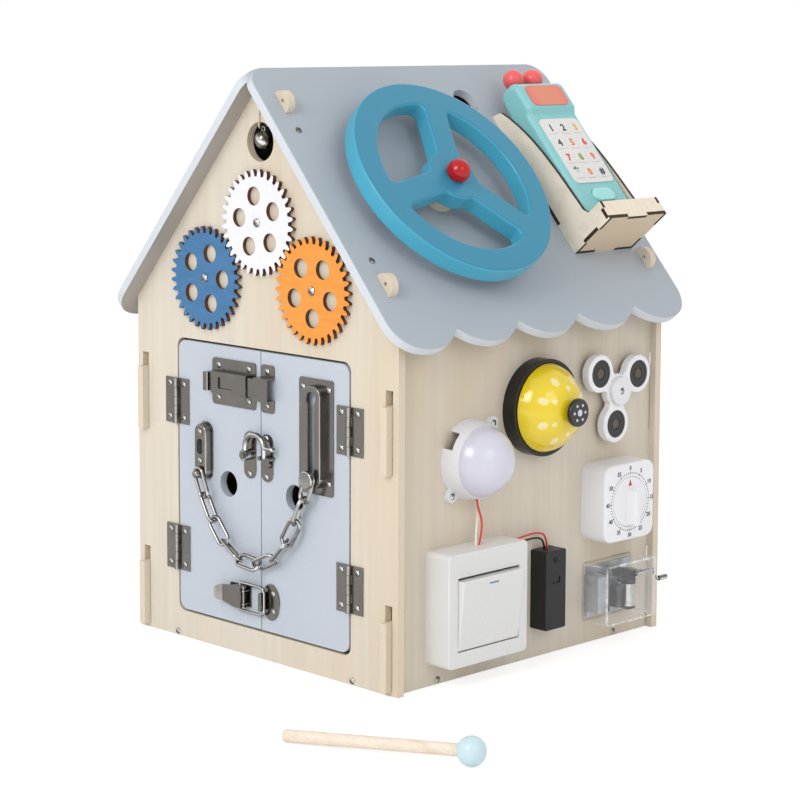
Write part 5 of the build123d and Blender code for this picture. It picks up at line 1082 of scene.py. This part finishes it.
class HOUSE_OT_bells_and_lamp(Operator):
    """Finish the lamp, the call bell and the spinner"""

    bl_idname = "house.bells_and_lamp"
    bl_label = "Lamp, call bell, spinner"

    def execute(self, context):
        shades = colours()
        coat_nodes(moulded("lamp_foot", darker(shades.white, 0.86), 0.34), "lamp_base")
        coat_nodes(lamp_shell(shades), "lamp_dome")
        coat_nodes(moulded("bell_foot", shades.black, 0.3), "call_bell_base")
        coat_nodes(bell_enamel(shades), "call_bell_dome")
        coat_nodes(bell_knob(shades), "call_bell_button")
        coat_nodes(spinner_plastic(shades), "spinner_body")
        coat_nodes(moulded("spinner_cap", darker(shades.white, 0.9), 0.26, coat=0.3), "spinner_cap")
        return {"FINISHED"}


class HOUSE_OT_switch(Operator):
    """Finish the switch and battery box"""

    bl_idname = "house.switch"
    bl_label = "Switch and battery box"

    def execute(self, context):
        shades = colours()
        coat_nodes(moulded("switch_plastic", shades.switch, 0.3), "switch_box")
        coat_nodes(rocker_plastic(shades), "switch_rocker")
        grained = moulded("battery_plastic", shades.black, 0.4, 900.0, 0.12)
        coat_nodes(grained, "battery_case", "battery_cover")
        return {"FINISHED"}


class HOUSE_OT_timer(Operator):
    """Finish the kitchen timer and print its dial"""

    bl_idname = "house.timer"
    bl_label = "Kitchen timer"

    def execute(self, context):
        shades = colours()
        settings = context.scene.timer_settings
        coat_nodes(moulded("timer_case", shades.white, 0.28, coat=0.2), "timer_case")
        coat_nodes(moulded("timer_knob", shades.white, 0.3), "timer_knob")
        ink = moulded("dial_ink", shades.dial_ink, 0.5)
        self.add_ticks(settings, ink)
        self.add_minutes(settings, ink)
        self.add_pointer(moulded("pointer", shades.red_mark, 0.4))
        return {"FINISHED"}

    def add_ticks(self, settings, ink):
        thickness = 0.12
        long_tick, short_tick = (0.9, 2.0, thickness), (0.7, 1.3, thickness)
        bm = bmesh.new()
        for tick in range(settings.ticks):
            angle = 2 * math.pi * tick / settings.ticks
            size = Vector(short_tick if tick % 5 else long_tick) * MM
            spot = Matrix.Rotation(-angle, 4, "Z") @ Matrix.Translation((0, settings.tick_ring, 0))
            bevelled_box(bm, wall_frame(*TIMER_PLACE, TIMER_FACE) @ spot, size, 0.03 * MM)
        new_piece("timer_ticks", to_mesh(bm, "timer_ticks"), ink, "house")

    def add_minutes(self, settings, ink):
        bm = bmesh.new()
        for minute in range(0, 60, 5):
            angle = 2 * math.pi * minute / 60
            around = Vector((math.sin(angle), math.cos(angle), 0)) * settings.number_ring
            spot = wall_frame(*TIMER_PLACE, TIMER_FACE) @ Matrix.Translation(around)
            add_numbers(bm, str(minute), settings.number_height, spot, 0.05 * MM, settings.number_weight)
        new_piece("timer_numbers", to_mesh(bm, "timer_numbers", False), ink, "house")

    def add_pointer(self, red):
        """A flat triangle that turns with the knob and points up at rest."""
        reach, thickness = 2.7 * MM, 0.14 * MM
        along, up = TIMER_PLACE
        lay = wall_frame(along, up + TIMER_POINTER_RISE, TIMER_FACE + 0.02)
        bm = bmesh.new()
        bmesh.ops.create_cone(bm, cap_ends=True, segments=3, radius1=reach, radius2=reach, depth=thickness,
                              matrix=lay @ Matrix.Diagonal((0.85, 1.3, 1.0, 1.0)))
        new_piece("timer_pointer", to_mesh(bm, "timer_pointer", False), red, "timer_knob")


class HOUSE_OT_music_box(Operator):
    """Finish the music box and pin its drum"""

    bl_idname = "house.music_box"
    bl_label = "Music box"

    def execute(self, context):
        shades = colours()
        settings = context.scene.drum_settings
        coat_nodes(clear_plastic(shades), "music_case")
        coat_nodes(cast_metal(shades), "music_frame")
        metal = stamped_metal("drum_metal", shades.drum, 0.18, 0.7, (300, 300, 300), 0.2)
        coat_nodes(metal, "music_cylinder", "music_crank")
        golden_turn, golden_share = 2.399963, 0.61803
        first_pin, pin_range, sunk, tip_share = 27.0, 16.0, 0.05, 0.7
        bm = bmesh.new()
        for pin in range(settings.pins):
            turn = golden_turn * pin
            height = first_pin + pin_range * ((pin * golden_share) % 1.0)
            out = Vector((math.cos(turn), math.sin(turn), 0))
            place = on_wall(DRUM_ALONG, height, DRUM_LIFT) + out * ((DRUM_RADIUS - sunk) * MM)
            lay = frame_at(place, out.cross((0, 0, 1)) * -1, (0, 0, 1))
            bmesh.ops.create_cone(bm, cap_ends=True, segments=6, radius1=settings.pin_radius,
                                  radius2=settings.pin_radius * tip_share, depth=settings.pin_height * 2,
                                  matrix=lay)
        new_piece("drum_pins", to_mesh(bm, "drum_pins"), metal, "music_cylinder")
        return {"FINISHED"}


class HOUSE_OT_mallet(Operator):
    """Finish the mallet"""

    bl_idname = "house.mallet"
    bl_label = "Mallet"

    def execute(self, context):
        coat_nodes(mallet_wood(colours()), "mallet")
        return {"FINISHED"}


class HOUSE_PT_panel(Panel):
    """Everything that can be added or finished"""

    bl_label = "Activity House"
    bl_space_type = "VIEW_3D"
    bl_region_type = "UI"
    bl_category = "Activity House"

    def draw(self, context):
        for operator in OPERATORS:
            self.layout.operator(operator.bl_idname)


OPERATORS = (HOUSE_OT_stage, HOUSE_OT_leads, HOUSE_OT_shell, HOUSE_OT_latches, HOUSE_OT_gable,
             HOUSE_OT_roof_toys, HOUSE_OT_bells_and_lamp, HOUSE_OT_switch, HOUSE_OT_timer,
             HOUSE_OT_music_box, HOUSE_OT_mallet)
GROUPS = {"house_colours": HouseColours, "stage_settings": StageSettings, "timer_settings": TimerSettings,
          "drum_settings": DrumSettings, "lead_settings": LeadSettings}


def register():
    for group in GROUPS.values():
        bpy.utils.register_class(group)
    for name, group in GROUPS.items():
        setattr(bpy.types.Scene, name, PointerProperty(type=group))
    for operator in OPERATORS:
        bpy.utils.register_class(operator)
    bpy.utils.register_class(HOUSE_PT_panel)


def unregister():
    bpy.utils.unregister_class(HOUSE_PT_panel)
    for operator in reversed(OPERATORS):
        bpy.utils.unregister_class(operator)
    for name in GROUPS:
        delattr(bpy.types.Scene, name)
    for group in reversed(GROUPS.values()):
        bpy.utils.unregister_class(group)


def main():
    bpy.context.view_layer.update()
    register()
    bpy.ops.house.stage()
    bpy.ops.house.leads()
    bpy.ops.house.shell()
    bpy.ops.house.latches()
    bpy.ops.house.gable()
    bpy.ops.house.roof_toys()
    bpy.ops.house.bells_and_lamp()
    bpy.ops.house.switch()
    bpy.ops.house.timer()
    bpy.ops.house.music_box()
    bpy.ops.house.mallet()


if __name__ == "__main__":
    main()
